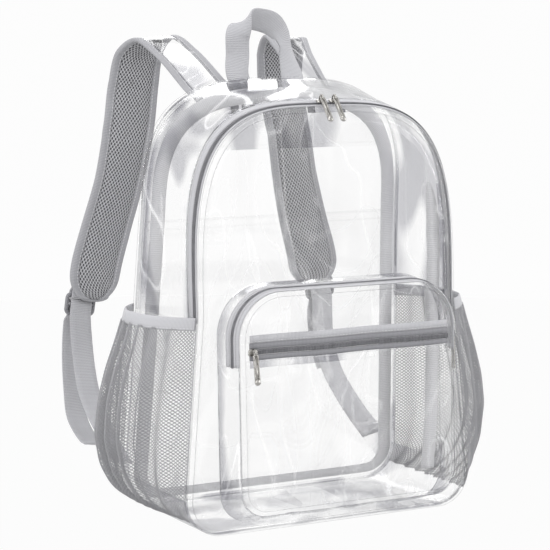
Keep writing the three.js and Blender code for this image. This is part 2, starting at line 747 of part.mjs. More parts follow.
function topStation(x) {
  let low = 3;
  let high = 4;
  for (let k = 0; k < 40; k += 1) {
    const middle = (low + high) / 2;
    if (frontPoint(middle, 0).x > Math.abs(x)) low = middle;
    else high = middle;
  }
  return x >= 0 ? low : 8 - low;
}

const COIL_MIDDLE = SEAM + FRONT_TAPE + GAP + ZIP_COIL / 2;

function addMainSliders() {
  MAIN_SLIDERS.forEach(({ name, pull, along }) => {
    const t = topStation(along);
    const ahead = zipPoint(t, -ZIP_COIL_RISE, COIL_MIDDLE - SLIDER.width / 2);
    const behind = zipPoint(t, -ZIP_COIL_RISE, COIL_MIDDLE + SLIDER.width / 2);
    const across = vec(0, 0, 0).subVectors(behind, ahead).setX(0).normalize();
    const out = vec(0, 0, 0).crossVectors(X, across).normalize();
    const seat = zipPoint(t, -ZIP_COIL_RISE, COIL_MIDDLE).addScaledVector(out, 2 * GAP);
    addSlider({ slider: name, pull }, seat, X, across, out, MAIN_PULL_HANG);
  });
}

// Front pocket
function pocketAt(size, t, inset) {
  const right = t <= 4 ? t : 8 - t;
  const sign = t <= 4 ? 1 : -1;
  const half = size.half - inset;
  const heel = Math.max(size.heel - inset, 1);
  const crown = Math.max(size.crown - inset, 1);
  const foot = size.foot + inset;
  const top = size.top - inset;
  const segment = Math.min(Math.floor(right), 3);
  const share = right - segment;
  if (segment === 0) return { x: sign * share * (half - heel), z: foot };
  const turn = (share * Math.PI) / 2;
  if (segment === 1) {
    return { x: sign * (half - heel + heel * Math.sin(turn)), z: foot + heel * (1 - Math.cos(turn)) };
  }
  if (segment === 2) return { x: sign * half, z: mix(foot + heel, top - crown, share) };
  const arc = Math.min(share * 2, 1);
  if (share <= 0.5) {
    const bend = (arc * Math.PI) / 2;
    return { x: sign * (half - crown * (1 - Math.cos(bend))), z: top - crown * (1 - Math.sin(bend)) };
  }
  return { x: sign * (half - crown) * (2 - 2 * share), z: top };
}

function pocketPoint(t, inset, distance) {
  const seam = pocketAt(POCKET_SEAM, t, inset);
  const face = pocketAt(POCKET_FACE, t, inset);
  const a = vec(seam.x, frontY(seam.z) + PANEL_REAR - GAP, seam.z);
  const b = vec(face.x, frontY(face.z) + PANEL_REAR - POCKET_DEPTH, face.z);
  return a.lerp(b, distance / POCKET_DEPTH);
}

const POCKET_STEPS = { bottom: 1, corner: 4, side: 3, arch: 10 };

function pocketStations(start, end) {
  const stretch = [POCKET_STEPS.bottom, POCKET_STEPS.corner, POCKET_STEPS.side, POCKET_STEPS.arch];
  const list = [start];
  for (let whole = Math.floor(start); whole < end; whole += 1) {
    const kind = whole < 4 ? whole : 7 - whole;
    for (let k = 0; k < stretch[kind]; k += 1) {
      const t = whole + k / stretch[kind];
      const flat = kind === 3 && (whole < 4 ? k > 5 : k < 5 && k > 0);
      if (!flat && t > start + 0.02 && t < end - 0.02) list.push(t);
    }
  }
  list.push(end);
  return list;
}

function pocketStrip(start, end, near, far, inset, thick) {
  const rings = pocketStations(start, end).map((t) => [
    pocketPoint(t, inset, near),
    pocketPoint(t, inset, far),
    pocketPoint(t, inset + thick, far),
    pocketPoint(t, inset + thick, near),
  ]);
  return loft(rings);
}

const pocketTAt = (z) =>
  2 + shareOf(z, POCKET_SEAM.foot + POCKET_SEAM.heel, POCKET_SEAM.top - POCKET_SEAM.crown);
const POCKET_FRONT = POCKET_DEPTH - PIPING; // where the piping on the face begins

function addPocketShell() {
  const foot = pocketTAt(POCKET_ZIP_FOOT);
  const gap = GAP / 100;
  addPiece('pocket_gusset_upper', pocketStrip(foot, 8 - foot, 0, POCKET_REAR_STRIP, 0, VINYL), vinyl);
  const stations = pocketStations(0, foot - gap);
  const front = POCKET_FRONT - GAP;
  const ringAt = (t, sign) =>
    [
      pocketPoint(t, 0, 0),
      pocketPoint(t, 0, front),
      pocketPoint(t, VINYL, front),
      pocketPoint(t, VINYL, 0),
    ].map((p) => vec(sign * p.x, p.y, p.z));
  const rings = [
    ...stations.slice(1).reverse().map((t) => ringAt(t, -1)),
    ...stations.map((t) => ringAt(t, 1)),
  ];
  addPiece('pocket_gusset_lower', loft(rings), vinyl);
  const loop = pocketStations(0, 8).slice(0, -1);
  const count = 6;
  const piping = loop.map((t) =>
    Array.from({ length: count }, (_, k) => {
      const turn = ((k + 0.5) / count) * 2 * Math.PI;
      const radius = PIPING / 2;
      return pocketPoint(
        t,
        radius + radius * Math.cos(turn),
        POCKET_DEPTH - radius + radius * Math.sin(turn),
      );
    }),
  );
  addPiece('pocket_piping', loft(piping, true), vinyl);
}

function addPocketZip() {
  const foot = pocketTAt(POCKET_ZIP_FOOT);
  const coilWidth = POCKET_FRONT - GAP - POCKET_REAR_STRIP - 2 * POCKET_TAPE - 3 * GAP;
  const rear = POCKET_REAR_STRIP + GAP;
  const coil = rear + POCKET_TAPE + GAP;
  const front = coil + coilWidth + GAP;
  const strip = (a, b, inset, thick) => pocketStrip(foot, 8 - foot, a, b, inset, thick);
  addPiece('pocket_zip_tape_rear', strip(rear, rear + POCKET_TAPE, 0, TAPE), grayTape);
  addPiece('pocket_zip_coil', strip(coil, coil + coilWidth, -ZIP_COIL_RISE, TAPE + ZIP_COIL_RISE), darkCoil);
  addPiece('pocket_zip_tape_front', strip(front, front + POCKET_TAPE, 0, TAPE), grayTape);
  return coil + coilWidth / 2;
}

// Face of the pocket, in two sheets with a zip between them
const FACE_INSET = PIPING + GAP;
const faceY = (z) => frontY(z) + PANEL_REAR - POCKET_DEPTH + PIPING / 2;

function addPocketFace() {
  const coilLow = FACE_ZIP - ZIP_COIL / 2;
  const coilHigh = FACE_ZIP + ZIP_COIL / 2;
  const upperFoot = coilHigh + GAP + FACE_TAPE_UPPER + GAP;
  const lowerTop = coilLow - GAP - FACE_TAPE_LOWER - GAP;
  const sheet = (stations) => {
    const ring = (offset) =>
      stations.map((t) => {
        const { x, z } = pocketAt(POCKET_FACE, t, FACE_INSET);
        return vec(x, faceY(z) + offset, z);
      });
    return prism(ring(-VINYL / 2), ring(VINYL / 2));
  };
  const onFace = (height) => {
    let low = 1;
    let high = 3.5;
    for (let k = 0; k < 40; k += 1) {
      const middle = (low + high) / 2;
      if (pocketAt(POCKET_FACE, middle, FACE_INSET).z < height) low = middle;
      else high = middle;
    }
    return low;
  };
  const upper = onFace(upperFoot);
  const lower = onFace(lowerTop);
  addPiece('pocket_face_upper', sheet(pocketStations(upper, 8 - upper)), vinyl);
  const low = [...pocketStations(8 - lower, 8).slice(0, -1), ...pocketStations(0, lower)];
  addPiece('pocket_face_lower', sheet(low), vinyl);
  const half = pocketAt(POCKET_FACE, upper, FACE_INSET).x - FACE_ZIP_END;
  const strip = (low_, high, front, rear) => {
    const ring = (x) => [
      vec(x, faceY(low_) - front, low_),
      vec(x, faceY(low_) + rear, low_),
      vec(x, faceY(high) + rear, high),
      vec(x, faceY(high) - front, high),
    ];
    return loft([ring(-half), ring(half)]);
  };
  const tape = TAPE / 2;
  addPiece('face_zip_tape_upper', strip(coilHigh + GAP, upperFoot - GAP, tape, tape), grayTape);
  addPiece('face_zip_coil', strip(coilLow, coilHigh, tape + ZIP_COIL_RISE, tape), darkCoil);
  addPiece('face_zip_tape_lower', strip(lowerTop + GAP, coilLow - GAP, tape, tape), grayTape);
}

function addFaceSlider() {
  const lean = Math.atan(FRONT_LEAN / FRONT.top);
  const out = vec(0, -Math.cos(lean), Math.sin(lean));
  const across = vec(0, 0, 0).crossVectors(out, X).normalize();
  const seat = vec(-FACE_SLIDER_FROM_MIDDLE, faceY(FACE_ZIP), FACE_ZIP);
  seat.addScaledVector(out, TAPE / 2 + ZIP_COIL_RISE + GAP);
  const names = { slider: 'face_slider', pull: 'face_pull' };
  addSlider(names, seat, X, across, out, FACE_PULL_HANG);
}

// The pocket zip's slider, with its pull held to it, on the side that the bag's front hides
function addPocketSlider(coilMiddle) {
  const t = pocketTAt(POCKET_ZIP_FOOT + POCKET_SLIDER_ABOVE_FOOT);
  const seat = pocketPoint(t, -ZIP_COIL_RISE - GAP, coilMiddle);
  const up = vec(0, 0, 0).subVectors(pocketPoint(t + 0.05, 0, coilMiddle), pocketPoint(t, 0, coilMiddle));
  up.normalize();
  const forward = vec(0, 0, 0).subVectors(pocketPoint(t, 0, POCKET_FRONT), pocketPoint(t, 0, 0));
  const out = vec(0, 0, 0).crossVectors(forward, up).normalize();
  if (out.x < 0) out.negate();
  const across = vec(0, 0, 0).crossVectors(out, up).normalize();
  const plate = new THREE.BoxGeometry(SLIDER.length, SLIDER.width, SLIDER.plate);
  plate.translate(0, 0, SLIDER.plate / 2);
  const tab = new THREE.BoxGeometry(PULL.length, PULL.width, PULL.plate);
  tab.translate(-PULL.length / 2 + SLIDER.length / 4, 0, SLIDER.plate + PULL.plate / 2 - 0.2);
  const solid = fromManifold(toManifold(plate).add(toManifold(tab)));
  solid.applyMatrix4(new THREE.Matrix4().makeBasis(up, across, out).setPosition(seat));
  addPiece('pocket_slider', solid, nickel);
}

// Side net pockets with elastic bands
function bulgeAt(height) {
  const rows = NET_PROFILE;
  for (let i = 1; i < rows.length; i += 1) {
    if (height <= rows[i].height) {
      const part = shareOf(height, rows[i - 1].height, rows[i].height);
      return mix(rows[i - 1].bulge, rows[i].bulge, part);
    }
  }
  return rows[rows.length - 1].bulge;
}

// A point over the right side panel: height, share of the way from the front seam to the back
// seam, lift off the panel and how far it stands out sideways
function overSide(height, share, lift, out) {
  const seamAt = (size, planeY) => {
    const { x, z } = sideAt(size, height, -lift);
    return vec(x, planeY(z), z);
  };
  const a = seamAt(FRONT, frontY);
  const b = seamAt(BACK, backY);
  const inside = SEAM / a.distanceTo(b);
  return a.clone().lerp(b, mix(inside, 1 - inside, share)).add(vec(out, 0, 0));
}

function netPoint(height, share, lift) {
  const top = POCKET_BAND_TOP;
  const rise = shareOf(height, POCKET_NET_FOOT, top);
  const belly = 1 - Math.abs(2 * share - 1) ** 2.6;
  const gather = Math.sin(Math.PI * Math.min(rise, 1)) ** 0.5 * belly;
  const fold = NET_FOLD_DEPTH * gather * Math.sin(share * NET_FOLDS * 2 * Math.PI);
  const out = POCKET_BULGE * bulgeAt(rise) * belly + fold;
  return overSide(height, share, NET_STAND + lift, out);
}

function addSidePockets() {
  const bandFoot = POCKET_BAND_TOP - POCKET_BAND_HEIGHT;
  const netTop = bandFoot - GAP;
  const rows = 9;
  const heights = Array.from({ length: rows + 1 }, (_, i) =>
    mix(POCKET_NET_FOOT, netTop, (i / rows) ** 1.25));
  const columns = Array.from({ length: NET_COLUMNS + 1 }, (_, j) => j / NET_COLUMNS);
  const outer = heights.map((z) => columns.map((s) => netPoint(z, s, NET)));
  const inner = heights.map((z) => columns.map((s) => netPoint(z, s, 0)));
  const net = gridWall(outer, inner);
  addPiece('side_pocket_right', net, netGray);
  addPiece('side_pocket_left', mirrored(net), netGray);
  const coarse = Array.from({ length: 17 }, (_, j) => j / 16);
  const levels = [bandFoot, POCKET_BAND_TOP];
  const bandAt = (z, s, lift) => {
    const belly = 1 - Math.abs(2 * s - 1) ** 2.6;
    const rise = shareOf(z, POCKET_NET_FOOT, POCKET_BAND_TOP);
    return overSide(z, s, NET_STAND + lift, POCKET_BULGE * bulgeAt(rise) * belly);
  };
  const band = gridWall(
    levels.map((z) => coarse.map((s) => bandAt(z, s, NET + 0.5))),
    levels.map((z) => coarse.map((s) => bandAt(z, s, 0))),
  );
  addPiece('pocket_band_right', band, webbingGray);
  addPiece('pocket_band_left', mirrored(band), webbingGray);
}

// Haul handle
function addHandle() {
  const face = 1.5 * GAP + WEBBING / 2 - PANEL_REAR;
  const rows = HANDLE_ROWS.map((row) => {
    const z = HANDLE_FOOT + HANDLE_HEIGHT * row.up;
    const y = backY(HANDLE_FOOT) + face + HANDLE_STAND * row.back;
    const lean = row.back < 0.2 ? backY(z) - backY(HANDLE_FOOT) : 0;
    return vec(HANDLE_REACH * row.across, y + lean, z);
  });
  const widths = HANDLE_ROWS.map((row) => {
    const turn = THREE.MathUtils.degToRad(row.turn);
    const tip = THREE.MathUtils.degToRad(row.tip);
    return vec(
      Math.cos(turn),
      Math.sin(turn) * Math.sin(tip),
      -Math.sin(turn) * Math.cos(tip),
    );
  });
  const frames = smoothFrames(rows, widths, HANDLE_ROWS.map(() => ({ size: 1 })));
  const half = WEBBING_WIDTH / 2;
  const rings = frames.map((f) => ribbonRing(f, -half, half, -WEBBING / 2, WEBBING / 2));
  addPiece('haul_handle', loft(rings), webbingGray);
}

// Shoulder straps, worked out on the right and mirrored to the left
function strapFrames() {
  const panel = backY(BACK.top * STRAP_ROWS[0].rise) - PANEL_REAR;
  const root = panel + 2 * GAP + STRAP_EDGE_THIN / 2;
  const middles = STRAP_ROWS.map((row) =>
    vec(BACK.base * row.spread, root + STRAP_REACH * row.reach, BACK.top * row.rise));
  const widths = STRAP_ROWS.map((row) => {
    const wide = Math.sqrt(Math.max(1 - row.trail ** 2 - row.drop ** 2, 0.1));
    return vec(wide, row.trail, -row.drop);
  });
  const values = STRAP_ROWS.map(({ width, padded }) => ({ width, padded }));
  return smoothFrames(middles, widths, values);
}

// Half width of the strap at a frame, drawn in round its end
function halfWidthAt(frames, k) {
  const end = frames[frames.length - 1].middle;
  const left = Math.min(frames[k].middle.distanceTo(end), STRAP_END_ROUND);
  const arc = Math.sqrt(Math.max(1 - (1 - left / STRAP_END_ROUND) ** 2, 0));
  return (STRAP_WIDTH * frames[k].width * arc) / 2;
}

function addStraps() {
  const frames = strapFrames();
  const half = frames.map((_, k) => halfWidthAt(frames, k));
  const edge = STRAP_EDGE_WIDTH;
  const inside = frames.map((_, k) => Math.max(half[k] - edge - GAP, 0));
  const last = inside.findIndex((w, k) => k > frames.length / 2 && w < 7);
  const kept = frames.slice(0, last);
  const cover = loft(kept.map((f, k) =>
    ribbonRing(f, -inside[k], inside[k], GAP / 2, GAP / 2 + VINYL)));
  const first = frames.findIndex((f) => f.share >= PAD_START);
  const padded = kept.slice(first);
  const pad = loft(padded.map((f, k) =>
    ribbonRing(f, -inside[k + first], inside[k + first], -GAP / 2 - STRAP_PAD * f.padded, -GAP / 2)));
  const outline = strapOutline(frames, half, edge);
  const binding = loft(outline);
  const pieces = { strap_cover: [cover, vinyl], strap_pad: [pad, spacerMesh] };
  pieces.strap_binding = [binding, grayTape];
  Object.entries(pieces).forEach(([name, [geometry, material]]) => {
    addPiece(`${name}_right`, geometry, material);
    addPiece(`${name}_left`, mirrored(geometry), material);
  });
  return frames[frames.length - 1];
}

// The binding runs down one edge, round the end and up the other
function strapOutline(frames, half, edge) {
  const low = (f) => -mix(STRAP_EDGE_THIN, STRAP_PAD + 1, f.padded) / 2 - f.padded * 1.5;
  const high = (f) => mix(STRAP_EDGE_THIN / 2, VINYL + 1, f.padded);
  const section = (f, outer, inner) => ribbonRing(f, outer, inner, low(f), high(f));
  const down = [];
  const up = [];
  frames.forEach((f, k) => {
    if (half[k] > edge * 1.6) {
      down.push(section(f, -half[k], -half[k] + edge));
      up.push(section(f, half[k], half[k] - edge));
    }
  });
  const turnAt = down.length;
  const hub = frames[turnAt - 1];
  const tip = frames[frames.length - 1];
  const reach = hub.middle.distanceTo(tip.middle);
  const wide = half[turnAt - 1];
  const round = [];
  const steps = 6;
  for (let k = 1; k < steps; k += 1) {
    const turn = (k / steps) * Math.PI;
    const spoke = (radius, stretch, n) =>
      hub.middle.clone()
        .addScaledVector(hub.across, -radius * Math.cos(turn))
        .addScaledVector(hub.along, stretch * Math.sin(turn))
        .addScaledVector(hub.out, n);
    const inner = wide - edge;
    const innerReach = Math.max(reach - edge, 2);
    round.push([
      spoke(wide, reach, low(hub)),
      spoke(inner, innerReach, low(hub)),
      spoke(inner, innerReach, high(hub)),
      spoke(wide, reach, high(hub)),
    ]);
  }
  return [...down, ...round, ...up.reverse()];
}

// Ladder-lock buckle: an outer frame with two slots
function buckleSolid() {
  const shape = new THREE.Shape();
  const w = BUCKLE.width / 2;
  const h = BUCKLE.height / 2;
  const c = 4;
  shape.moveTo(-w + c, -h);
  shape.lineTo(w - c, -h);
  shape.lineTo(w, -h + c);
  shape.lineTo(w, h - c);
  shape.lineTo(w - c, h);
  shape.lineTo(-w + c, h);
  shape.lineTo(-w, h - c);
  shape.lineTo(-w, -h + c);
  shape.closePath();
  const slotHalf = w - BUCKLE.bar;
  const slotHeight = (BUCKLE.height - 3 * BUCKLE.bar) / 2;
  [-1, 1].forEach((side) => {
    const low = side < 0 ? -h + BUCKLE.bar : BUCKLE.bar / 2;
    const slot = new THREE.Path();
    slot.moveTo(-slotHalf, low);
    slot.lineTo(-slotHalf, low + slotHeight);
    slot.lineTo(slotHalf, low + slotHeight);
    slot.lineTo(slotHalf, low);
    slot.closePath();
    shape.holes.push(slot);
  });
  const solid = new THREE.ExtrudeGeometry(shape, { depth: BUCKLE.thick, bevelEnabled: false });
  solid.translate(0, 0, -BUCKLE.thick / 2);
  return flipped(solid);
}

function ribbon(middles, widths) {
  const frames = smoothFrames(middles, widths, middles.map(() => ({ size: 1 })));
  const half = WEBBING_WIDTH / 2;
  return loft(frames.map((f) => ribbonRing(f, -half, half, -WEBBING / 2, WEBBING / 2)));
}

function addBucklesAndWebbing(strapEnd) {
  const { along: down, across, out } = strapEnd;
  const seat = strapEnd.middle.clone()
    .addScaledVector(out, BUCKLE_LIFT)
    .addScaledVector(across, BUCKLE_SIDE)
    .addScaledVector(down, BUCKLE_DROP);
  const buckle = buckleSolid();
  buckle.applyMatrix4(new THREE.Matrix4().makeBasis(across, down, out).setPosition(seat));
  addPiece('buckle_right', buckle, buckleGray);
  addPiece('buckle_left', mirrored(buckle), buckleGray);
  const local = (above, over) =>
    seat.clone().addScaledVector(down, -above).addScaledVector(out, over);

  const barTop = BUCKLE.height / 2;
  const barFoot = barTop - BUCKLE.bar;
  const side = BUCKLE.thick / 2 + GAP + WEBBING / 2;
  const sewn = barTop + LOOP_LENGTH;
  const under = -BUCKLE_LIFT + VINYL + 1 + 2 * GAP + WEBBING / 2;
  const over = under + WEBBING + GAP;
  const turn = barFoot - GAP - WEBBING / 2;
  const loop = [
    [sewn, under], [barTop + 4, under], [barTop - 1, -side], [barFoot + 0.8, -side],
    [barFoot - 0.5, -side], [turn, -side * 0.75], [turn, side * 0.75], [barFoot - 0.5, side],
    [barFoot + 0.8, side], [barTop + 1, side + 0.3], [barTop + 5, over + 1.6],
    [barTop + 9, over], [sewn, over],
  ];
  const sewnLoop = ribbon(loop.map(([a, b]) => local(a, b)), loop.map(() => across.clone()));
  addPiece('strap_loop_right', sewnLoop, webbingGray);
  addPiece('strap_loop_left', mirrored(sewnLoop), webbingGray);

  const foot = vec(
    BACK.base - ANCHOR.inset,
    backY(ANCHOR.height) + ANCHOR.behind,
    ANCHOR.height,
  );
  const { across: wide, back, up } = WEBBING_FOOT_WIDTH;
  const footWidth = vec(wide, back, up).normalize();
  const place = (row) =>
    vec(mix(foot.x, seat.x, row.side), mix(foot.y, seat.y, row.back), mix(foot.z, seat.z, row.up));
  const legWidths = WEBBING_ROWS.map((row) => across.clone().lerp(footWidth, row.turn));
  const hook = HOOK_ROWS.map((row) => local(row.above, row.out));
  ['right', 'left'].forEach((name) => {
    const tail = TAILS[name].map(place);
    const middles = [...WEBBING_ROWS.map(place), ...hook, ...tail];
    const widths = [...legWidths, ...hook.map(() => across.clone()), ...tail.map(() => across.clone())];
    const strap = ribbon(middles, widths);
    addPiece(`lower_webbing_${name}`, name === 'right' ? strap : mirrored(strap), webbingGray);
  });

  // The clear tab reaches from the back seam to the webbing's foot and lies under it
  const toFoot = place(WEBBING_ROWS[1]).sub(foot).normalize();
  const half = WEBBING_WIDTH / 2;
  footWidth.addScaledVector(toFoot, -footWidth.dot(toFoot)).normalize();
  const normal = vec(0, 0, 0).crossVectors(footWidth, toFoot).normalize();
  const seamX = (z) => sideAt(BACK, z, ANCHOR_TAB.inset).x;
  const clear = (PIPING / 2) * (1 / Math.cos(Math.PI / 6) - 1) + GAP + VINYL / 2;
  const seam = (z) => vec(seamX(z), backY(z) + clear, z);
  const tip = (share) =>
    foot.clone().addScaledVector(toFoot, -GAP).addScaledVector(footWidth, share * half);
  const steps = 3;
  const rings = Array.from({ length: steps + 1 }, (_, k) => {
    const part = k / steps;
    const low = seam(ANCHOR_TAB.low).lerp(tip(-1), part);
    const high = seam(ANCHOR_TAB.high).lerp(tip(1), part);
    const off = vec(0, 1, 0).lerp(normal, part).normalize().multiplyScalar(VINYL * 0.6);
    return [low.clone().sub(off), high.clone().sub(off), high.add(off), low.add(off)];
  });
  const tab = loft(rings);
  addPiece('anchor_tab_right', tab, vinyl);
  addPiece('anchor_tab_left', mirrored(tab), vinyl);
}

addShell();
addBindings();
addInnerSheets();
addMainZip();
addMainSliders();
addPocketShell();
addPocketSlider(addPocketZip());
addPocketFace();
addFaceSlider();
addSidePockets();
addHandle();
addBucklesAndWebbing(addStraps());

export default bag;
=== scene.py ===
import math

import bmesh
import bpy
import numpy as np
from mathutils import Matrix, Vector


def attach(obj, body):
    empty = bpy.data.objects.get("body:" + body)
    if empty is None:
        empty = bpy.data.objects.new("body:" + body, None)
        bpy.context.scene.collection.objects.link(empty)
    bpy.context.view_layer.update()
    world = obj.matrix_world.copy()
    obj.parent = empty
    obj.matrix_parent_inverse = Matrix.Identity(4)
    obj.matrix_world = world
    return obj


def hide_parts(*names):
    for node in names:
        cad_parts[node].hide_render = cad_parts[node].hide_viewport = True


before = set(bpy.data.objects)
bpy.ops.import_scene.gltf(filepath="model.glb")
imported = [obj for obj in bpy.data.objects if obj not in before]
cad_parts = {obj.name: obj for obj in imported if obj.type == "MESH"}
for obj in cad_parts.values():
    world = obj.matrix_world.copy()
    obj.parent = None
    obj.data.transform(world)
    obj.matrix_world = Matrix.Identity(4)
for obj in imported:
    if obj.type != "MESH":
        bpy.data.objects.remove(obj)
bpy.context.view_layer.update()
MM = 0.001

# Camera. It stands two metres from the bag, a little above its middle and to the left of
# its front, with a long lens.
CAMERA_AZIMUTH = math.radians(-28.78)
CAMERA_ELEVATION = math.radians(7.10)
CAMERA_DISTANCE = 2000
CAMERA_LENS = 130.9
LOOKED_AT = Vector((-24.36, 0, 237.44))

camera_data = bpy.data.cameras.new("camera")
camera_data.lens = CAMERA_LENS
camera_data.sensor_width = 36
camera_data.clip_end = 50
camera = bpy.data.objects.new("camera", camera_data)
towards_camera = Vector((
    math.sin(CAMERA_AZIMUTH) * math.cos(CAMERA_ELEVATION),
    -math.cos(CAMERA_AZIMUTH) * math.cos(CAMERA_ELEVATION),
    math.sin(CAMERA_ELEVATION),
))
camera.location = (LOOKED_AT + towards_camera * CAMERA_DISTANCE) * MM
camera.rotation_euler = towards_camera.to_track_quat("Z", "Y").to_euler()
bpy.context.scene.collection.objects.link(camera)
bpy.context.scene.camera = camera


# Studio. The bag stands on a round white floor whose rim sweeps up into a wall, under soft
# boxes and beside narrow strip lights that draw white lines on the clear sheet.
def linear(code):
    """Linear colour of an sRGB hex code."""
    parts = [int(code[i:i + 2], 16) / 255 for i in (1, 3, 5)]
    line = [c / 12.92 if c <= 0.04045 else ((c + 0.055) / 1.055) ** 2.4 for c in parts]
    return (*line, 1.0)


def add(tree, kind, joins=None, **settings):
    """One node with its settings. A socket is given a value or joined to an output."""
    made = tree.nodes.new(kind)
    for key, value in settings.items():
        setattr(made, key, value)
    for key, value in (joins or {}).items():
        if isinstance(value, bpy.types.NodeSocket):
            tree.links.new(value, made.inputs[key])
        else:
            made.inputs[key].default_value = value
    return made


def new_material(name):
    made = bpy.data.materials.new(name)
    made.use_nodes = True
    made.node_tree.nodes.clear()
    return made, made.node_tree


FLOOR_RADIUS = 3.2
SWEEP_RADIUS = 1.2
WALL_HEIGHT = 1.6
FLOOR_WHITE = "#f6f6f7"
FLOOR_GLOW = 0.994

# Painted floor: white and matt, lit almost evenly so that no line shows between floor and wall
paint, tree = new_material("white_floor_paint")
coords = add(tree, "ShaderNodeTexCoord")
grain = add(tree, "ShaderNodeTexNoise", {"Vector": coords.outputs["Object"], "Scale": 9.0,
                                         "Detail": 3.0})
tone = add(tree, "ShaderNodeMix", {0: grain.outputs["Fac"], 6: linear("#f4f4f5"),
                                   7: linear(FLOOR_WHITE)}, data_type="RGBA")
matt = add(tree, "ShaderNodeBsdfDiffuse", {"Color": tone.outputs[2]})
glow = add(tree, "ShaderNodeEmission", {"Color": linear("#ffffff"), "Strength": 0.98})
both = add(tree, "ShaderNodeMixShader", {0: FLOOR_GLOW, 1: matt.outputs[0], 2: glow.outputs[0]})
add(tree, "ShaderNodeOutputMaterial", {"Surface": both.outputs[0]})

profile = [(0.0, 0.0), (FLOOR_RADIUS * 0.5, 0.0), (FLOOR_RADIUS, 0.0)]
profile += [(FLOOR_RADIUS + SWEEP_RADIUS * math.sin(a), SWEEP_RADIUS * (1 - math.cos(a)))
            for a in np.linspace(0.1, math.pi / 2, 14)]
profile.append((FLOOR_RADIUS + SWEEP_RADIUS, SWEEP_RADIUS + WALL_HEIGHT))
floor_bm = bmesh.new()
sides = 72
rings = []
for radius, height in profile[1:]:
    rings.append([floor_bm.verts.new((radius * math.cos(a), radius * math.sin(a), height))
                  for a in np.linspace(0, 2 * math.pi, sides, endpoint=False)])
floor_bm.faces.new(rings[0])
for low, high in zip(rings, rings[1:]):
    for j in range(sides):
        floor_bm.faces.new((low[j], low[(j + 1) % sides], high[(j + 1) % sides], high[j]))
floor_mesh = bpy.data.meshes.new("floor")
floor_bm.to_mesh(floor_mesh)
floor_bm.free()
floor_mesh.shade_smooth()
floor_mesh.materials.append(paint)
floor = bpy.data.objects.new("floor", floor_mesh)
bpy.context.scene.collection.objects.link(floor)

# Each light: where it stands, what it faces, its two sides and its power
LIGHTS = [
    ("key_box", (-1.7, -1.9, 1.9), (0, 0, 0.25), 1.3, 1.3, 26),
    ("fill_box", (1.9, -1.6, 1.1), (0, 0, 0.25), 1.2, 1.2, 12),
    ("top_box", (0.0, 0.2, 2.3), (0, 0, 0.2), 1.4, 1.4, 22),
    ("left_strip", (-1.5, -0.3, 0.7), (0, 0, 0.3), 0.12, 1.5, 9),
    ("right_strip", (1.5, -0.6, 0.8), (0, 0, 0.3), 0.12, 1.5, 9),
    ("back_box", (0.6, 1.9, 1.4), (0, 0, 0.3), 1.2, 1.2, 14),
]
for name, place, faces_to, wide, tall, power in LIGHTS:
    lamp = bpy.data.lights.new(name, "AREA")
    lamp.shape = "RECTANGLE"
    lamp.size = wide
    lamp.size_y = tall
    lamp.energy = power
    light = bpy.data.objects.new(name, lamp)
    light.location = place
    way = Vector(place) - Vector(faces_to)
    light.rotation_euler = way.to_track_quat("Z", "Y").to_euler()
    bpy.context.scene.collection.objects.link(light)
world = bpy.data.worlds.new("studio")
world.use_nodes = True
world.node_tree.nodes["Background"].inputs["Color"].default_value = linear("#e4e4e5")
world.node_tree.nodes["Background"].inputs["Strength"].default_value = 1.08
bpy.context.scene.world = world
bpy.context.scene.view_settings.view_transform = "Standard"
# A look through the bag crosses many clear sheets
bpy.context.scene.cycles.transparent_max_bounces = 48


# Front and back panels. Each is one cut of clear soft PVC sheet, flat at its sewn edge and a
# little wavy between, with the piping's seam all round it.
FRONT = {"base": 160, "waist": 144, "spring": 211, "top": 406, "fullness": 3.47, "corner": 36}
BACK = {"base": 160, "waist": 149, "spring": 301, "top": 434, "fullness": 3.07, "corner": 36}
BASE_DEPTH = 157
FRONT_LEAN = 14.5
BACK_LEAN = 34.5
GAP = 0.3
PIPING = 5
SEAM = PIPING + GAP
SHEET = 1.0
PANEL_REAR = 1.9
ZIP_FOOT = FRONT["spring"] - 6
PANEL_WAVE = 1.0


def mix(a, b, share):
    return a + (b - a) * share


def share_of(value, low, high):
    return (value - low) / (high - low)


def side_at(size, height, inset):
    """Point on the straight right side of a panel, or on the corner under it."""
    base = size["base"] - inset
    if height < size["corner"]:
        corner = size["corner"] - inset
        level = 1 - height / size["corner"]
        x = base - corner + corner * math.sqrt(max(1 - level * level, 0))
        return x, inset + corner * (1 - level)
    share = share_of(height, size["corner"], size["spring"])
    return mix(base, size["waist"] - inset, share), height


def crown_at(size, way, inset):
    """Point above the zip's foot: way 1 is the spring of the arch and 2 its top."""
    if way < 1:
        return side_at(size, mix(ZIP_FOOT, size["spring"], way), inset)
    turn = (way - 1) * math.pi / 2
    bow = 2 / size["fullness"]
    rise = size["top"] - inset - size["spring"]
    return ((size["waist"] - inset) * max(math.cos(turn), 0) ** bow,
            size["spring"] + rise * max(math.sin(turn), 0) ** bow)


def crown_table(size):
    """Lengths along the crown, so that stations on it are evenly spaced."""
    ways = np.linspace(0, 2, 601)
    places = np.array([crown_at(size, way, 0) for way in ways])
    steps = np.hypot(*np.diff(places, axis=0).T)
    return ways, np.concatenate([[0], np.cumsum(steps)])


crown_tables = {"front": crown_table(FRONT), "back": crown_table(BACK)}


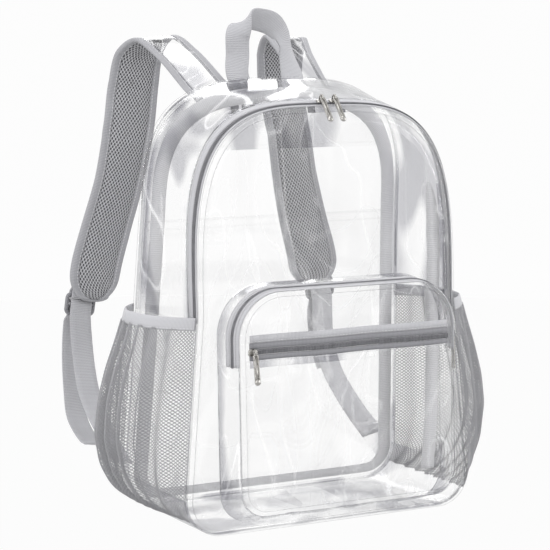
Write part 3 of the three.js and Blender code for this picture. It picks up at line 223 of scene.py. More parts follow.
def outline_at(size, t, inset):
    """Outline of a panel: t is 0 at the middle of the base, 3 at the zip's foot and 4 on top."""
    right = t if t <= 4 else 8 - t
    sign = 1 if t <= 4 else -1
    segment = min(int(right), 3)
    share = right - segment
    if segment == 0:
        return sign * share * (size["base"] - size["corner"]), inset
    if segment == 1:
        turn = share * math.pi / 2
        corner = size["corner"] - inset
        x = size["base"] - size["corner"] + corner * math.sin(turn)
        return sign * x, inset + corner - corner * math.cos(turn)
    if segment == 2:
        x, z = side_at(size, mix(size["corner"], ZIP_FOOT, share), inset)
        return sign * x, z
    ways, lengths = crown_tables["front" if size is FRONT else "back"]
    x, z = crown_at(size, float(np.interp(share * lengths[-1], lengths, ways)), inset)
    return sign * x, z


def front_y(z):
    return -BASE_DEPTH / 2 + FRONT_LEAN * z / FRONT["top"]


def back_y(z):
    return BASE_DEPTH / 2 - BACK_LEAN * z / BACK["top"]


def gusset_ends(t, inset):
    x, z = outline_at(FRONT, t, inset)
    u, w = outline_at(BACK, t, inset)
    return np.array([x, front_y(z), z]), np.array([u, back_y(w), w])


def from_front(t, inset, distance):
    """Point on the gusset, or inside it by inset, so far behind the front seam."""
    a, b = gusset_ends(t, inset)
    return a + (b - a) * distance / np.linalg.norm(b - a)


def from_back(t, inset, distance):
    a, b = gusset_ends(t, inset)
    return b + (a - b) * distance / np.linalg.norm(b - a)


STATIONS = (10, 10, 26, 70)  # on half the base, a corner, a side and half the arch


def stations(start, end, counts=STATIONS):
    """Stations between two values of t."""
    found = [start]
    for whole in range(int(math.floor(start)), int(math.ceil(end))):
        count = counts[whole if whole < 4 else 7 - whole]
        for k in range(count):
            t = whole + k / count
            if start + 0.004 < t < end - 0.004:
                found.append(t)
    return [*found, end]


def loop(counts=STATIONS):
    return stations(0, 8, counts)[:-1]


def ripple(x, z, size, phase):
    """Slow unevenness of soft sheet, between -1 and 1."""
    a = math.sin(x / size + 1.7 * math.sin(z / size * 0.6 + phase) + phase)
    b = math.sin(z / size * 0.83 + 1.3 * math.sin(x / size * 0.5 - phase) + 2 * phase)
    return 0.6 * a * b + 0.4 * math.sin((x + z) / size * 0.37 + phase)


def grid(rows, around=False, closed=False, ends=False):
    """Points, faces and corner places in millimetres of cloth for rows of points."""
    rows = np.asarray(rows, dtype=float)
    n, m, _ = rows.shape
    wide = np.concatenate([rows, rows[:, :1]], axis=1) if around else rows
    steps = np.linalg.norm(np.diff(wide, axis=1), axis=2)
    across = np.concatenate([np.zeros((n, 1)), np.cumsum(steps, axis=1)], axis=1)
    across -= across[:, -1:] / 2
    long = np.concatenate([rows, rows[:1]], axis=0) if closed else rows
    pace = np.linalg.norm(np.diff(long, axis=0), axis=2).mean(axis=1)
    along = np.concatenate([[0], np.cumsum(pace)])
    faces, corners = [], []
    for i in range(n if closed else n - 1):
        k = (i + 1) % n
        for j in range(m if around else m - 1):
            q = (j + 1) % m
            faces.append((i * m + j, i * m + q, k * m + q, k * m + j))
            corners += [(across[i, j], along[i]), (across[i, j + 1], along[i]),
                        (across[k, j + 1], along[i + 1]), (across[k, j], along[i + 1])]
    if ends:
        for i in (0, n - 1):
            faces.append(tuple(i * m + j for j in range(m)))
            corners += [(across[i, j], along[i]) for j in range(m)]
    return rows.reshape(-1, 3), faces, corners


def make(name, shape, finish, replaces=(), body="bag", wall=0.0, bevel=0.0):
    """A finished piece from points, faces and corner places."""
    points, faces, corners = shape
    mesh = bpy.data.meshes.new(name)
    mesh.from_pydata((np.asarray(points) * MM).tolist(), [], faces)
    if corners is not None:
        layer = mesh.uv_layers.new(name="cloth")
        layer.data.foreach_set("uv", np.asarray(corners, dtype=np.float32).ravel())
    bm = bmesh.new()
    bm.from_mesh(mesh)
    bmesh.ops.recalc_face_normals(bm, faces=bm.faces)
    bm.to_mesh(mesh)
    bm.free()
    mesh.shade_smooth()
    mesh.materials.append(finish)
    made = bpy.data.objects.new(name, mesh)
    bpy.context.scene.collection.objects.link(made)
    if wall:
        thick = made.modifiers.new("wall", "SOLIDIFY")
        thick.thickness = wall * MM
        thick.offset = 0
    if bevel:
        soft = made.modifiers.new("soft_edge", "BEVEL")
        soft.width = bevel * MM
        soft.segments = 2
    if replaces:
        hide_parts(*replaces)
    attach(made, body)
    return made


def filled(edge, centre, place, rings=16):
    """A sheet inside an outline of (x, z) points. place gives a point and its share inwards."""
    edge = np.asarray(edge, dtype=float)
    rows = []
    for k in range(rings):
        share = 1 - k / rings
        flat = centre + (edge - centre) * share
        rows.append([place(x, z, 1 - share) for x, z in flat])
    points, faces, corners = grid(rows, around=True)
    m = len(edge)
    faces.append(tuple((rings - 1) * m + j for j in range(m)))
    corners = [(points[v][0], points[v][2]) for face in faces for v in face]
    return points, faces, corners


def clear_pvc(name, face, edge, grazing_shade_from, wave, haze, patch_shade):
    """Calendered soft PVC: almost invisible face on, with painted shade that turns it gray
    where it turns away from the eye and in soft patches, slow waves in its gloss and faint
    white stress lines. The arguments give the colour face on, the colour of the painted edge
    shade, the facing value where that shade begins, the depth of the waves in mm, the strength
    of the stress lines, and the colour of the painted shade patches."""
    made, tree = new_material(name)
    coords = add(tree, "ShaderNodeTexCoord")
    slow = add(tree, "ShaderNodeMapping", {"Vector": coords.outputs["Object"],
                                           "Scale": (1.0, 1.0, 0.45)})
    folds = add(tree, "ShaderNodeTexNoise", {"Vector": slow.outputs[0], "Scale": 1 / 0.075,
                                             "Detail": 0.6, "Distortion": 0.5})
    bump = add(tree, "ShaderNodeBump", {"Height": folds.outputs["Fac"], "Strength": 0.6,
                                        "Distance": wave * MM})
    facing = add(tree, "ShaderNodeLayerWeight", {"Blend": 0.5, "Normal": bump.outputs[0]})
    # Painted shade: the see-through colour turns gray where the sheet turns away from the eye
    grazing_shade = add(tree, "ShaderNodeValToRGB", {0: facing.outputs["Facing"]})
    grazing_shade.color_ramp.elements[0].position = grazing_shade_from
    grazing_shade.color_ramp.elements[0].color = linear(face)
    grazing_shade.color_ramp.elements[1].position = 1.0
    grazing_shade.color_ramp.elements[1].color = linear(edge)
    # Painted shade: soft patches of grayer see-through colour
    patch = add(tree, "ShaderNodeTexNoise", {"Vector": slow.outputs[0], "Scale": 1 / 0.085,
                                             "Detail": 0.5, "Distortion": 1.4})
    patch_shade_ramp = add(tree, "ShaderNodeValToRGB", {0: patch.outputs["Fac"]})
    patch_shade_ramp.color_ramp.elements[0].position = 0.4
    patch_shade_ramp.color_ramp.elements[0].color = linear(patch_shade)
    patch_shade_ramp.color_ramp.elements[1].position = 0.52
    patch_shade_ramp.color_ramp.elements[1].color = linear("#ffffff")
    body = add(tree, "ShaderNodeMix", {0: 1.0, 6: grazing_shade.outputs[0], 7: patch_shade_ramp.outputs[0]},
               data_type="RGBA", blend_type="MULTIPLY")
    clear = add(tree, "ShaderNodeBsdfTransparent", {"Color": body.outputs[2]})
    gloss = add(tree, "ShaderNodeBsdfAnisotropic", {"Color": linear("#ffffff"),
                                                    "Roughness": 0.07,
                                                    "Normal": bump.outputs[0]})
    turned_off = add(tree, "ShaderNodeMath", {0: facing.outputs["Facing"], 1: 5.0},
                     operation="POWER")
    mirrors = add(tree, "ShaderNodeMath", {0: turned_off.outputs[0], 1: 0.7, 2: 0.022},
                  operation="MULTIPLY_ADD")
    sheet = add(tree, "ShaderNodeMixShader", {0: mirrors.outputs[0], 1: clear.outputs[0],
                                              2: gloss.outputs[0]})
    stress = add(tree, "ShaderNodeTexNoise", {"Vector": slow.outputs[0], "Scale": 1 / 0.11,
                                              "Detail": 1.0, "Distortion": 2.2})
    line = add(tree, "ShaderNodeValToRGB", {0: stress.outputs["Fac"]})
    line.color_ramp.elements[0].position = 0.485
    line.color_ramp.elements[0].color = (0, 0, 0, 1)
    line.color_ramp.elements[1].position = 0.5
    line.color_ramp.elements[1].color = (haze, haze, haze, 1)
    end = line.color_ramp.elements.new(0.515)
    end.color = (0, 0, 0, 1)
    white = add(tree, "ShaderNodeBsdfDiffuse", {"Color": linear("#ffffff")})
    worn = add(tree, "ShaderNodeMixShader", {0: line.outputs[0], 1: sheet.outputs[0],
                                             2: white.outputs[0]})
    add(tree, "ShaderNodeOutputMaterial", {"Surface": worn.outputs[0]})
    return made


# Sheet: the clearest and flattest. Cord: clear in its middle, with a painted dark shade line at
# both sides.
# Creased sheet: the same PVC where it has been bent and squeezed, so wavier, with grayer patches
# of painted shade.
panel_pvc = clear_pvc("clear_pvc_sheet", "#ffffff", "#c2c3c6", 0.8, 1.3, 0.09, "#fefefe")
cord_pvc = clear_pvc("clear_pvc_piping", "#fefefe", "#57585b", 0.56, 0.5, 0.0, "#ffffff")
fold_pvc = clear_pvc("creased_pvc_sheet", "#fefefe", "#bdbec1", 0.74, 3.2, 0.22, "#e6e6e8")


def panel_sheet(point, distance, phase):
    """A whole panel on the plane of one seam, waved between its edges."""
    edge = [point(t, SEAM, distance)[[0, 2]] for t in loop()]
    middle = np.array([0.0, 200.0])

    def place(x, z, inwards):
        plane = front_y(z) + distance if point is from_front else back_y(z) - distance
        wave = PANEL_WAVE * min(inwards * 5, 1) * ripple(x, z, 62, phase)
        return x, plane + wave, z

    return filled(edge, middle, place)


make("front_panel_sheet", panel_sheet(from_front, PANEL_REAR, 0.4), panel_pvc,
     ["front_panel"], wall=SHEET)
make("back_panel_sheet", panel_sheet(from_back, PANEL_REAR, 1.9), panel_pvc,
     ["back_panel"], wall=SHEET)


# Piping. A clear PVC cord with a tail is sewn into the front seam and into the back seam, and
# shows as a bright line between two gray lines of painted edge shade.
def piping(point):
    radius = PIPING / 2
    turns = np.linspace(0, 2 * math.pi, 14, endpoint=False)
    return [[point(t, max(radius + radius * math.cos(a), 0.02), radius + radius * math.sin(a))
             for a in turns] for t in loop()]


make("front_seam_piping", grid(piping(from_front), around=True, closed=True), cord_pvc,
     ["front_piping"])
make("back_seam_piping", grid(piping(from_back), around=True, closed=True), cord_pvc,
     ["back_piping"])


# Gusset. One long band of clear sheet runs over the arch behind the zip, two panels stand
# under the net pockets and one lies below. Bending round the corners has puckered them.
FRONT_TAPE = 1.4
ZIP_COIL = 5
REAR_TAPE = 8
EDGE_ROLL = 2.4
EDGE_ROLL_WIDTH = 20
GUSSET_WAVE = 2.2
ZIP_REAR = SEAM + FRONT_TAPE + ZIP_COIL + REAR_TAPE + 3 * GAP


def zip_point(t, inset, distance):
    """On the soft edge that rolls out behind the front seam, where the main zip lies."""
    up = min(max(min(t, 8 - t) - 3, 0), 0.3) / 0.3
    near = min(distance / EDGE_ROLL_WIDTH, 1)
    return from_front(t, inset - EDGE_ROLL * up * math.sin(near * math.pi / 2), distance)


def gusset_sheet(ts, near, wave, phase, columns=14):
    """Sheet between a distance behind the front seam and the back seam's piping."""
    rows = []
    for t in ts:
        a = zip_point(t, 0, near)
        b = from_back(t, 0, SEAM)
        row = []
        for j in range(columns + 1):
            share = j / columns
            hold = math.sin(math.pi * share) ** 0.7
            way = 60 * t
            pucker = math.sin(way * 0.35 + 3 * math.sin(way * 0.07 + phase) + 2.4 * share)
            slow = math.sin(way * 0.11 + phase - 3.1 * share)
            inset = 0.6 - wave * hold * (0.35 * pucker + 0.65 * slow)
            point = a + (b - a) * share
            level = gusset_ends(t, 0)[0]
            inner = gusset_ends(t, 5)[0]
            into = (inner - level) / max(np.linalg.norm(inner - level), 1e-6)
            moved = point + into * inset
            row.append((moved[0], moved[1], max(moved[2], 0.1)))
        rows.append(row)
    return grid(rows)


make("arch_gusset_sheet", gusset_sheet(stations(3, 5), ZIP_REAR, GUSSET_WAVE, 0.7), fold_pvc,
     ["upper_gusset"], wall=SHEET)
for side, name in ((1, "right"), (-1, "left")):
    first, last = (2.003, 2.997) if side > 0 else (5.003, 5.997)
    make(f"side_{name}_sheet", gusset_sheet(stations(first, last), SEAM, 0.9, 1.1 + side),
         panel_pvc, [f"side_panel_{name}"], wall=SHEET)
base_ts = [*stations(6, 8)[:-1], *stations(0, 2)]
make("base_sheet", gusset_sheet(base_ts, SEAM, 0.5, 2.0), fold_pvc,
     ["bottom_panel"], wall=SHEET)


# Bound seam allowances. Inside the bag the cut edges of both seams stand up and are folded
# into a soft gray polyester tape. Behind the front's right edge a part of it hangs loose.
BINDING_WIDTH = 14.5
ALLOWANCE = 6.6
BINDING_STAND = 8
BINDING_TAPE = 1.6
BASE_BINDING = 0.58  # share of the width that is left along the base
NARROW_TO = 0.7  # in t, from the middle of the base
NARROWS_OVER = 1.3
FRONT_BINDING_TOP = 330
FRONT_BINDING_FOOT = 38
FRONT_BINDING_SWAY = 27
LOOSE_ROWS = 60
LEAF_ROWS = 12  # over these it narrows to a rounded tip


def woven(name, light, dark, rib, warp, relief, roughness, speckle=0.25, sheen=0.15):
    """Woven polyester: ribs across the cloth and yarns along it, at their real pitch in mm,
    with the small unevenness of dyed yarn and a faint sheen from its fibres."""
    made, tree = new_material(name)
    cloth = add(tree, "ShaderNodeUVMap", uv_map="cloth")
    apart = add(tree, "ShaderNodeSeparateXYZ", {0: cloth.outputs[0]})
    waves = []
    for out, pitch in ((1, rib), (0, warp)):
        turn = add(tree, "ShaderNodeMath", {0: apart.outputs[out], 1: 2 * math.pi / pitch},
                   operation="MULTIPLY")
        waves.append(add(tree, "ShaderNodeMath", {0: turn.outputs[0]}, operation="SINE"))
    woof = add(tree, "ShaderNodeMath", {0: waves[0].outputs[0], 1: waves[1].outputs[0]},
               operation="MULTIPLY")
    both = add(tree, "ShaderNodeMath", {0: woof.outputs[0], 1: 0.6, 2: waves[0].outputs[0]},
               operation="MULTIPLY_ADD")
    coords = add(tree, "ShaderNodeTexCoord")
    fibre = add(tree, "ShaderNodeTexNoise", {"Vector": coords.outputs["Object"],
                                             "Scale": 1 / 0.0011, "Detail": 3.0})
    slow = add(tree, "ShaderNodeTexNoise", {"Vector": coords.outputs["Object"],
                                            "Scale": 1 / 0.03, "Detail": 2.0})
    shade = add(tree, "ShaderNodeMapRange", {0: both.outputs[0], 1: -1.6, 2: 1.6})
    fleck = add(tree, "ShaderNodeMath", {0: fibre.outputs["Fac"], 1: speckle,
                                         2: shade.outputs[0]}, operation="MULTIPLY_ADD")
    tired = add(tree, "ShaderNodeMath", {0: slow.outputs["Fac"], 1: 0.25,
                                         2: fleck.outputs[0]}, operation="MULTIPLY_ADD")
    centred = add(tree, "ShaderNodeMath", {0: tired.outputs[0], 1: speckle / 2 + 0.125},
                  operation="SUBTRACT", use_clamp=True)
    colour = add(tree, "ShaderNodeMix", {0: centred.outputs[0], 6: linear(dark),
                                         7: linear(light)}, data_type="RGBA")
    bump = add(tree, "ShaderNodeBump", {"Height": tired.outputs[0], "Strength": 0.7,
                                        "Distance": relief * MM})
    surface = add(tree, "ShaderNodeBsdfPrincipled", {
        "Base Color": colour.outputs[2], "Roughness": roughness, "Sheen Weight": sheen,
        "Specular IOR Level": 0.25, "Normal": bump.outputs[0]})
    add(tree, "ShaderNodeOutputMaterial", {"Surface": surface.outputs[0]})
    return made


# Binding tape: soft and quite matt, as felted as a worn edge, so that its flecks show
seam_tape = woven("polyester_binding_tape", "#cacacc", "#a6a6a9", 1.9, 1.7, 0.3, 0.9, 0.9)


def band_inside(ts, inner, widest, low, high):
    """Closed flat band between two insets and two distances from the back seam."""
    rows = []
    for t in ts:
        up = min(max(min(t, 8 - t) - NARROW_TO, 0) / NARROWS_OVER, 1)
        outer = inner + (widest - inner) * mix(BASE_BINDING, 1, up * up * (3 - 2 * up))
        rows.append([
            from_back(t, inner, low), from_back(t, mix(inner, outer, 0.5), low - 0.15),
            from_back(t, outer, low), from_back(t, outer + 0.35, mix(low, high, 0.5)),
            from_back(t, outer, high), from_back(t, mix(inner, outer, 0.5), high + 0.15),
            from_back(t, inner, high), from_back(t, inner - 0.3, mix(low, high, 0.5))])
    return rows


rear_stand = SEAM + BINDING_STAND - BINDING_TAPE
split = 1.5 + ALLOWANCE
make("back_seam_binding",
     grid(band_inside(loop(), split, split + BINDING_WIDTH, rear_stand,
                      rear_stand + BINDING_TAPE), around=True, closed=True),
     seam_tape, ["back_binding"])
make("back_seam_allowance",
     grid(band_inside(loop(), 1.6, split - 0.6, rear_stand + 0.4, rear_stand + 1.2),
          around=True, closed=True), fold_pvc)


def right_side_at(size, height):
    if height <= size["spring"]:
        return side_at(size, height, 0)[0]
    rise = share_of(height, size["spring"], size["top"])
    return size["waist"] * max(1 - rise ** size["fullness"], 0) ** (1 / size["fullness"])


def loose_binding(start, end, part):
    """The front seam's binding on the right: part 0 is its clear root and 1 its taped edge."""
    rows = []
    for k in range(LOOSE_ROWS + 1):
        height = mix(FRONT_BINDING_FOOT, FRONT_BINDING_TOP, k / LOOSE_ROWS)
        drift = FRONT_BINDING_SWAY * (1 - k / LOOSE_ROWS) ** 2
        x = right_side_at(FRONT, height)
        y = front_y(height) + SEAM + BINDING_STAND - BINDING_TAPE
        y += 0.5 * math.sin(k * 0.41) + 0.3 * math.sin(k * 0.93)
        near = x - start - drift * part[0]
        far = x - end - drift * part[1]
        past = max(k - LOOSE_ROWS + LEAF_ROWS, 0)
        taper = 1 - math.sqrt(1 - past ** 2 / (LEAF_ROWS ** 2 + 1))
        near, far = mix(near, (near + far) / 2, taper), mix(far, (near + far) / 2, taper)
        rows.append([(near, y, height), ((near + far) / 2, y - 0.2, height), (far, y, height),
                     (far, y + BINDING_TAPE, height),
                     ((near + far) / 2, y + BINDING_TAPE + 0.2, height),
                     (near, y + BINDING_TAPE, height)])
    return grid(rows, around=True, ends=True)


make("front_seam_binding", loose_binding(split, split + BINDING_WIDTH, (1, 1)), seam_tape,
     ["front_binding"])
make("front_seam_allowance", loose_binding(1.6, split - 0.5, (0, 1)), fold_pvc)


# Sheets sewn inside the back panel: a sleeve for papers whose hem runs across the bag, and a
# shorter facing that covers the feet of the straps and the handle.
SLEEVE_TOP = BACK["top"] - 141
FACING_FOOT = BACK["top"] - 70
HEM = 9


def on_crown(height):
    ts = np.linspace(3, 4, 2001)
    heights = [outline_at(BACK, t, 0)[1] for t in ts]
    return float(np.interp(height, heights, ts))


def inner_sheet(ts, depth, centre, phase):
    edge = [from_back(t, SEAM + GAP, depth)[[0, 2]] for t in ts]
    first, last = edge[0], edge[-1]
    closing = [np.asarray(last) + (np.asarray(first) - last) * k / 40 for k in range(1, 40)]

    def place(x, z, inwards):
        wave = PANEL_WAVE * min(inwards * 5, 1) * ripple(x, z, 62, phase)
        return x, back_y(z) - depth + wave, z

    return filled([*edge, *closing], np.array(centre), place)


hem_t = on_crown(SLEEVE_TOP)
facing_t = on_crown(FACING_FOOT)
sheet_depth = PANEL_REAR + SHEET + 2 * GAP + 0.6
make("inner_sleeve_sheet",
     inner_sheet([*stations(8 - hem_t, 8)[:-1], *stations(0, hem_t)], sheet_depth, (0, 150), 1.9),
     panel_pvc, ["inner_sleeve"], wall=SHEET * 0.8)
make("top_facing_sheet", inner_sheet(stations(facing_t, 8 - facing_t), sheet_depth, (0, 395), 1.9),
     fold_pvc, ["top_facing"], wall=SHEET * 0.8)


def hem_strip(height, drop, name):
    """The folded edge of an inner sheet: a second layer in the piping's PVC, whose painted edge
    shade makes it show as a soft gray line.
    """
    half = right_side_at(BACK, height) - SEAM - 4
    rows = []
    for k in range(41):
        x = mix(-half, half, k / 40)
        y = back_y(height) - sheet_depth - 0.9 + PANEL_WAVE * ripple(x, height, 62, 1.9)
        rows.append([(x, y, height), (x, y - 0.5, height - drop * 0.5), (x, y, height - drop),
                     (x, y + 0.35, height - drop), (x, y + 0.35, height)])
    make(name, grid(rows, around=True, ends=True), cord_pvc)


hem_strip(SLEEVE_TOP, 2.2, "sleeve_hem_edge")
hem_strip(SLEEVE_TOP - HEM, 1.2, "sleeve_hem_fold")
hem_strip(FACING_FOOT + 1.6, 1.4, "facing_edge")


# Main zip. Two gray woven tapes with nylon coil teeth run over the arch from one side pocket
# to the other, sewn to the piping's tail in front and to the gusset behind.
COIL_RISE = 1.0
TAPE = 1.0
TOOTH_PITCH = 1.7
COIL_FRONT = SEAM + FRONT_TAPE + GAP
COIL_MIDDLE = COIL_FRONT + ZIP_COIL / 2

# Zip tape: fine and flat. Its darker copy is painted shade, for the tape under the face's flap and
# for the ground under the coils.
zip_tape = woven("polyester_zip_tape", "#b8b8bb", "#929296", 1.5, 2.1, 0.2, 0.85, 0.3)
zip_tape_painted_shade = woven("polyester_zip_tape_shaded", "#8f8f93", "#6b6b6f", 1.5, 2.1, 0.2, 0.85, 0.3)

# Nylon coil: a smooth monofilament with a soft gloss, its tone varying at random
coil_nylon, tree = new_material("nylon_coil")
coords = add(tree, "ShaderNodeTexCoord")
speck = add(tree, "ShaderNodeTexNoise", {"Vector": coords.outputs["Object"],
                                         "Scale": 1 / 0.004, "Detail": 2.0})
shade = add(tree, "ShaderNodeMix", {0: speck.outputs["Fac"], 6: linear("#48484c"),
                                    7: linear("#7a7a7e")}, data_type="RGBA")
rough = add(tree, "ShaderNodeMapRange", {0: speck.outputs["Fac"], 3: 0.25, 4: 0.42})
surface = add(tree, "ShaderNodeBsdfPrincipled", {"Base Color": shade.outputs[2],
                                                 "Roughness": rough.outputs[0]})
add(tree, "ShaderNodeOutputMaterial", {"Surface": surface.outputs[0]})

# Tree that sets copies of one small thing along paths, turned along them and outwards
set_along = bpy.data.node_groups.new("set_along_paths", "GeometryNodeTree")
for socket, kind in (("Paths", "NodeSocketGeometry"), ("Unit", "NodeSocketObject"),
                     ("Pitch", "NodeSocketFloat"), ("Finish", "NodeSocketMaterial")):
    set_along.interface.new_socket(socket, in_out="INPUT", socket_type=kind)
set_along.interface.new_socket("Set", in_out="OUTPUT", socket_type="NodeSocketGeometry")
given = add(set_along, "NodeGroupInput")
curves = add(set_along, "GeometryNodeMeshToCurve", {"Mesh": given.outputs["Paths"]})
spaced = add(set_along, "GeometryNodeResampleCurve", {"Curve": curves.outputs[0],
                                                      "Length": given.outputs["Pitch"]},
             mode="LENGTH")
along = add(set_along, "GeometryNodeInputTangent")
outward = add(set_along, "GeometryNodeInputNamedAttribute", {"Name": "outward"},
              data_type="FLOAT_VECTOR")
aimed = add(set_along, "FunctionNodeAlignRotationToVector", {"Vector": along.outputs[0]},
            axis="X")
stood = add(set_along, "FunctionNodeAlignRotationToVector", {
    "Rotation": aimed.outputs[0], "Vector": outward.outputs[0]}, axis="Z", pivot_axis="X")
unit = add(set_along, "GeometryNodeObjectInfo", {"Object": given.outputs["Unit"],
                                                 "As Instance": True})
placed = add(set_along, "GeometryNodeInstanceOnPoints", {
    "Points": spaced.outputs[0], "Instance": unit.outputs["Geometry"],
    "Rotation": stood.outputs[0]})
real = add(set_along, "GeometryNodeRealizeInstances", {0: placed.outputs[0]})
dressed = add(set_along, "GeometryNodeSetMaterial", {
    "Geometry": real.outputs[0], "Material": given.outputs["Finish"]})
add(set_along, "NodeGroupOutput", {"Set": dressed.outputs[0]})


def grown(name, source, tree, values, finish, replaces=(), body="bag"):
    """Runs a geometry tree on a source mesh and keeps the result as one plain piece."""
    holder = bpy.data.objects.new(name + "_source", source)
    bpy.context.scene.collection.objects.link(holder)
    grow = holder.modifiers.new("grow", "NODES")
    grow.node_group = tree
    sockets = {s.name: s.identifier for s in tree.interface.items_tree if s.in_out == "INPUT"}
    for key, value in values.items():
        grow[sockets[key]] = value
    bpy.context.view_layer.update()
    seen = holder.evaluated_get(bpy.context.evaluated_depsgraph_get())
    mesh = bpy.data.meshes.new_from_object(seen)
    bpy.data.objects.remove(holder)
    mesh.name = name
    mesh.materials.clear()
    mesh.materials.append(finish)
    mesh.shade_smooth()
    made = bpy.data.objects.new(name, mesh)
    bpy.context.scene.collection.objects.link(made)
    if replaces:
        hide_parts(*replaces)
    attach(made, body)
    return made


def path_mesh(name, paths):
    """Edges for paths of (point, outward) pairs, with the outward way kept on each point."""
    points, edges, ways = [], [], []
    for path in paths:
        first = len(points)
        for point, way in path:
            points.append(tuple(np.asarray(point) * MM))
            ways.append(tuple(way))
        edges += [(k, k + 1) for k in range(first, len(points) - 1)]
    mesh = bpy.data.meshes.new(name)
    mesh.from_pydata(points, edges, [])
    kept = mesh.attributes.new("outward", "FLOAT_VECTOR", "POINT")
    kept.data.foreach_set("vector", np.asarray(ways, dtype=np.float32).ravel())
    return mesh


def hidden_unit(name, points, faces):
    """A small thing that only serves to be copied."""
    mesh = bpy.data.meshes.new(name)
    mesh.from_pydata((np.asarray(points) * MM).tolist(), [], faces)
    bm = bmesh.new()
    bm.from_mesh(mesh)
    bmesh.ops.recalc_face_normals(bm, faces=bm.faces)
    bm.to_mesh(mesh)
    bm.free()
    mesh.shade_smooth()
    return bpy.data.objects.new(name, mesh)


def tooth_unit(width, along_mm, height):
    """One turn of the coil: it lies across the zip, high on both sides of the joint."""
    rows = []
    for y, lift in ((-0.5, 0.1), (-0.36, 0.85), (-0.16, 1.0), (0.0, 0.55), (0.16, 1.0),
                    (0.36, 0.85), (0.5, 0.1)):
        rows.append([(along_mm / 2 * math.cos(a), y * width,
                      max(lift * height * (0.55 + 0.45 * math.sin(a)), 0))
                     for a in np.linspace(0, 2 * math.pi, 6, endpoint=False)])
    points, faces, _ = grid(rows, around=True, ends=True)
    return hidden_unit("coil_turn", points, faces)


def stitch_unit(length, thick):
    """One lockstitch: a short thread that dips into the cloth at both ends."""
    rows = []
    for x, size in ((-0.5, 0.35), (-0.3, 1), (0.3, 1), (0.5, 0.35)):
        rows.append([(x * length, size * thick / 2 * math.cos(a),
                      size * thick / 2 * math.sin(a) - (0.15 if size < 1 else 0))
                     for a in np.linspace(0, 2 * math.pi, 6, endpoint=False)])
    points, faces, _ = grid(rows, around=True, ends=True)
    return hidden_unit("stitch", points, faces)


def gusset_band(ts, place, near, far, low, high):
    """Closed flat band between two distances and two lifts off the gusset."""
    return grid([[place(t, -high, near), place(t, -high, (near + far) / 2),
                  place(t, -high, far), place(t, -low, far), place(t, -low, near)]
                 for t in ts], around=True, ends=True)


zip_ts = stations(3, 5)
make("main_zip_front_tape", gusset_band(zip_ts, zip_point, SEAM, COIL_FRONT - GAP, -TAPE, 0),
     zip_tape, ["main_zip_tape_front"])
make("main_zip_rear_tape", gusset_band(zip_ts, zip_point, COIL_FRONT + ZIP_COIL + GAP,
                                       COIL_FRONT + ZIP_COIL + GAP + REAR_TAPE, -TAPE, 0),
     zip_tape, ["main_zip_tape_rear"])
# The ground under the coil is the darker tape copy: painted shade between the teeth
make("main_zip_ground", gusset_band(zip_ts, zip_point, COIL_FRONT, COIL_FRONT + ZIP_COIL,
                                    -TAPE, 0.1), zip_tape_painted_shade)
coil_turn = tooth_unit(ZIP_COIL * 0.96, TOOTH_PITCH * 0.86, COIL_RISE)


def gusset_path(ts, distance, lift):
    found = []
    for t in ts:
        point = zip_point(t, -lift, distance)
        found.append((point, point - zip_point(t, 6, distance)))
    return found


def teeth(name, way, replaces):
    """Coil teeth along one way of (point, outward) pairs."""
    grown(name, path_mesh("zip_way", [way]), set_along,
          {"Unit": coil_turn, "Pitch": TOOTH_PITCH * MM, "Finish": coil_nylon}, coil_nylon,
          replaces)


teeth("main_zip_teeth", gusset_path(zip_ts, COIL_MIDDLE, 0.1), ["main_zip_coil"])

# Thread: bonded polyester, pale and slightly shiny
thread, tree = new_material("polyester_thread")
coords = add(tree, "ShaderNodeTexCoord")
twist = add(tree, "ShaderNodeTexNoise", {"Vector": coords.outputs["Object"],
                                         "Scale": 1 / 0.002, "Detail": 1.0})
pale = add(tree, "ShaderNodeMix", {0: twist.outputs["Fac"], 6: linear("#a2a2a5"),
                                   7: linear("#d6d6d8")}, data_type="RGBA")
surface = add(tree, "ShaderNodeBsdfPrincipled", {"Base Color": pale.outputs[2],
                                                 "Roughness": 0.55})
add(tree, "ShaderNodeOutputMaterial", {"Surface": surface.outputs[0]})
stitch = stitch_unit(2.6, 0.55)
STITCH_PITCH = 3.4
HEM_FROM_COIL = 6.2


def sew(name, rows):
    """Stitches along rows of (point, outward) pairs."""
    grown(name, path_mesh("stitch_rows", rows), set_along,
          {"Unit": stitch, "Pitch": STITCH_PITCH * MM, "Finish": thread}, thread)


sew("main_zip_stitches", [
    gusset_path(zip_ts, COIL_FRONT + ZIP_COIL + GAP + HEM_FROM_COIL, 0.15),
    gusset_path(zip_ts, SEAM + FRONT_TAPE / 2, 0.12)])


# Sliders and pulls. Each is die-cast zinc, nickel plated: a body in two plates over the coil,
# a bail on top, and a slotted tab with a round knob that hangs from it and swings.
SLIDER_LENGTH = 10
SLIDER_WIDTH = 7
SLIDER_PLATE = 1.6
BAIL_LIFT = 4.4
PULL_WIDTH = 4.8
PULL_LENGTH = 30
PULL_EYE = 2.1
EYE_RING = PULL_EYE * 0.72
EYE_WIRE = 0.55
TAB_RIM = 0.85
KNOB_STANDS_OUT = 0.75
MAIN_PULL_HANG = math.radians(30)
FACE_PULL_HANG = math.radians(-7)
MAIN_SLIDERS = [("left", -4), ("right", 10)]

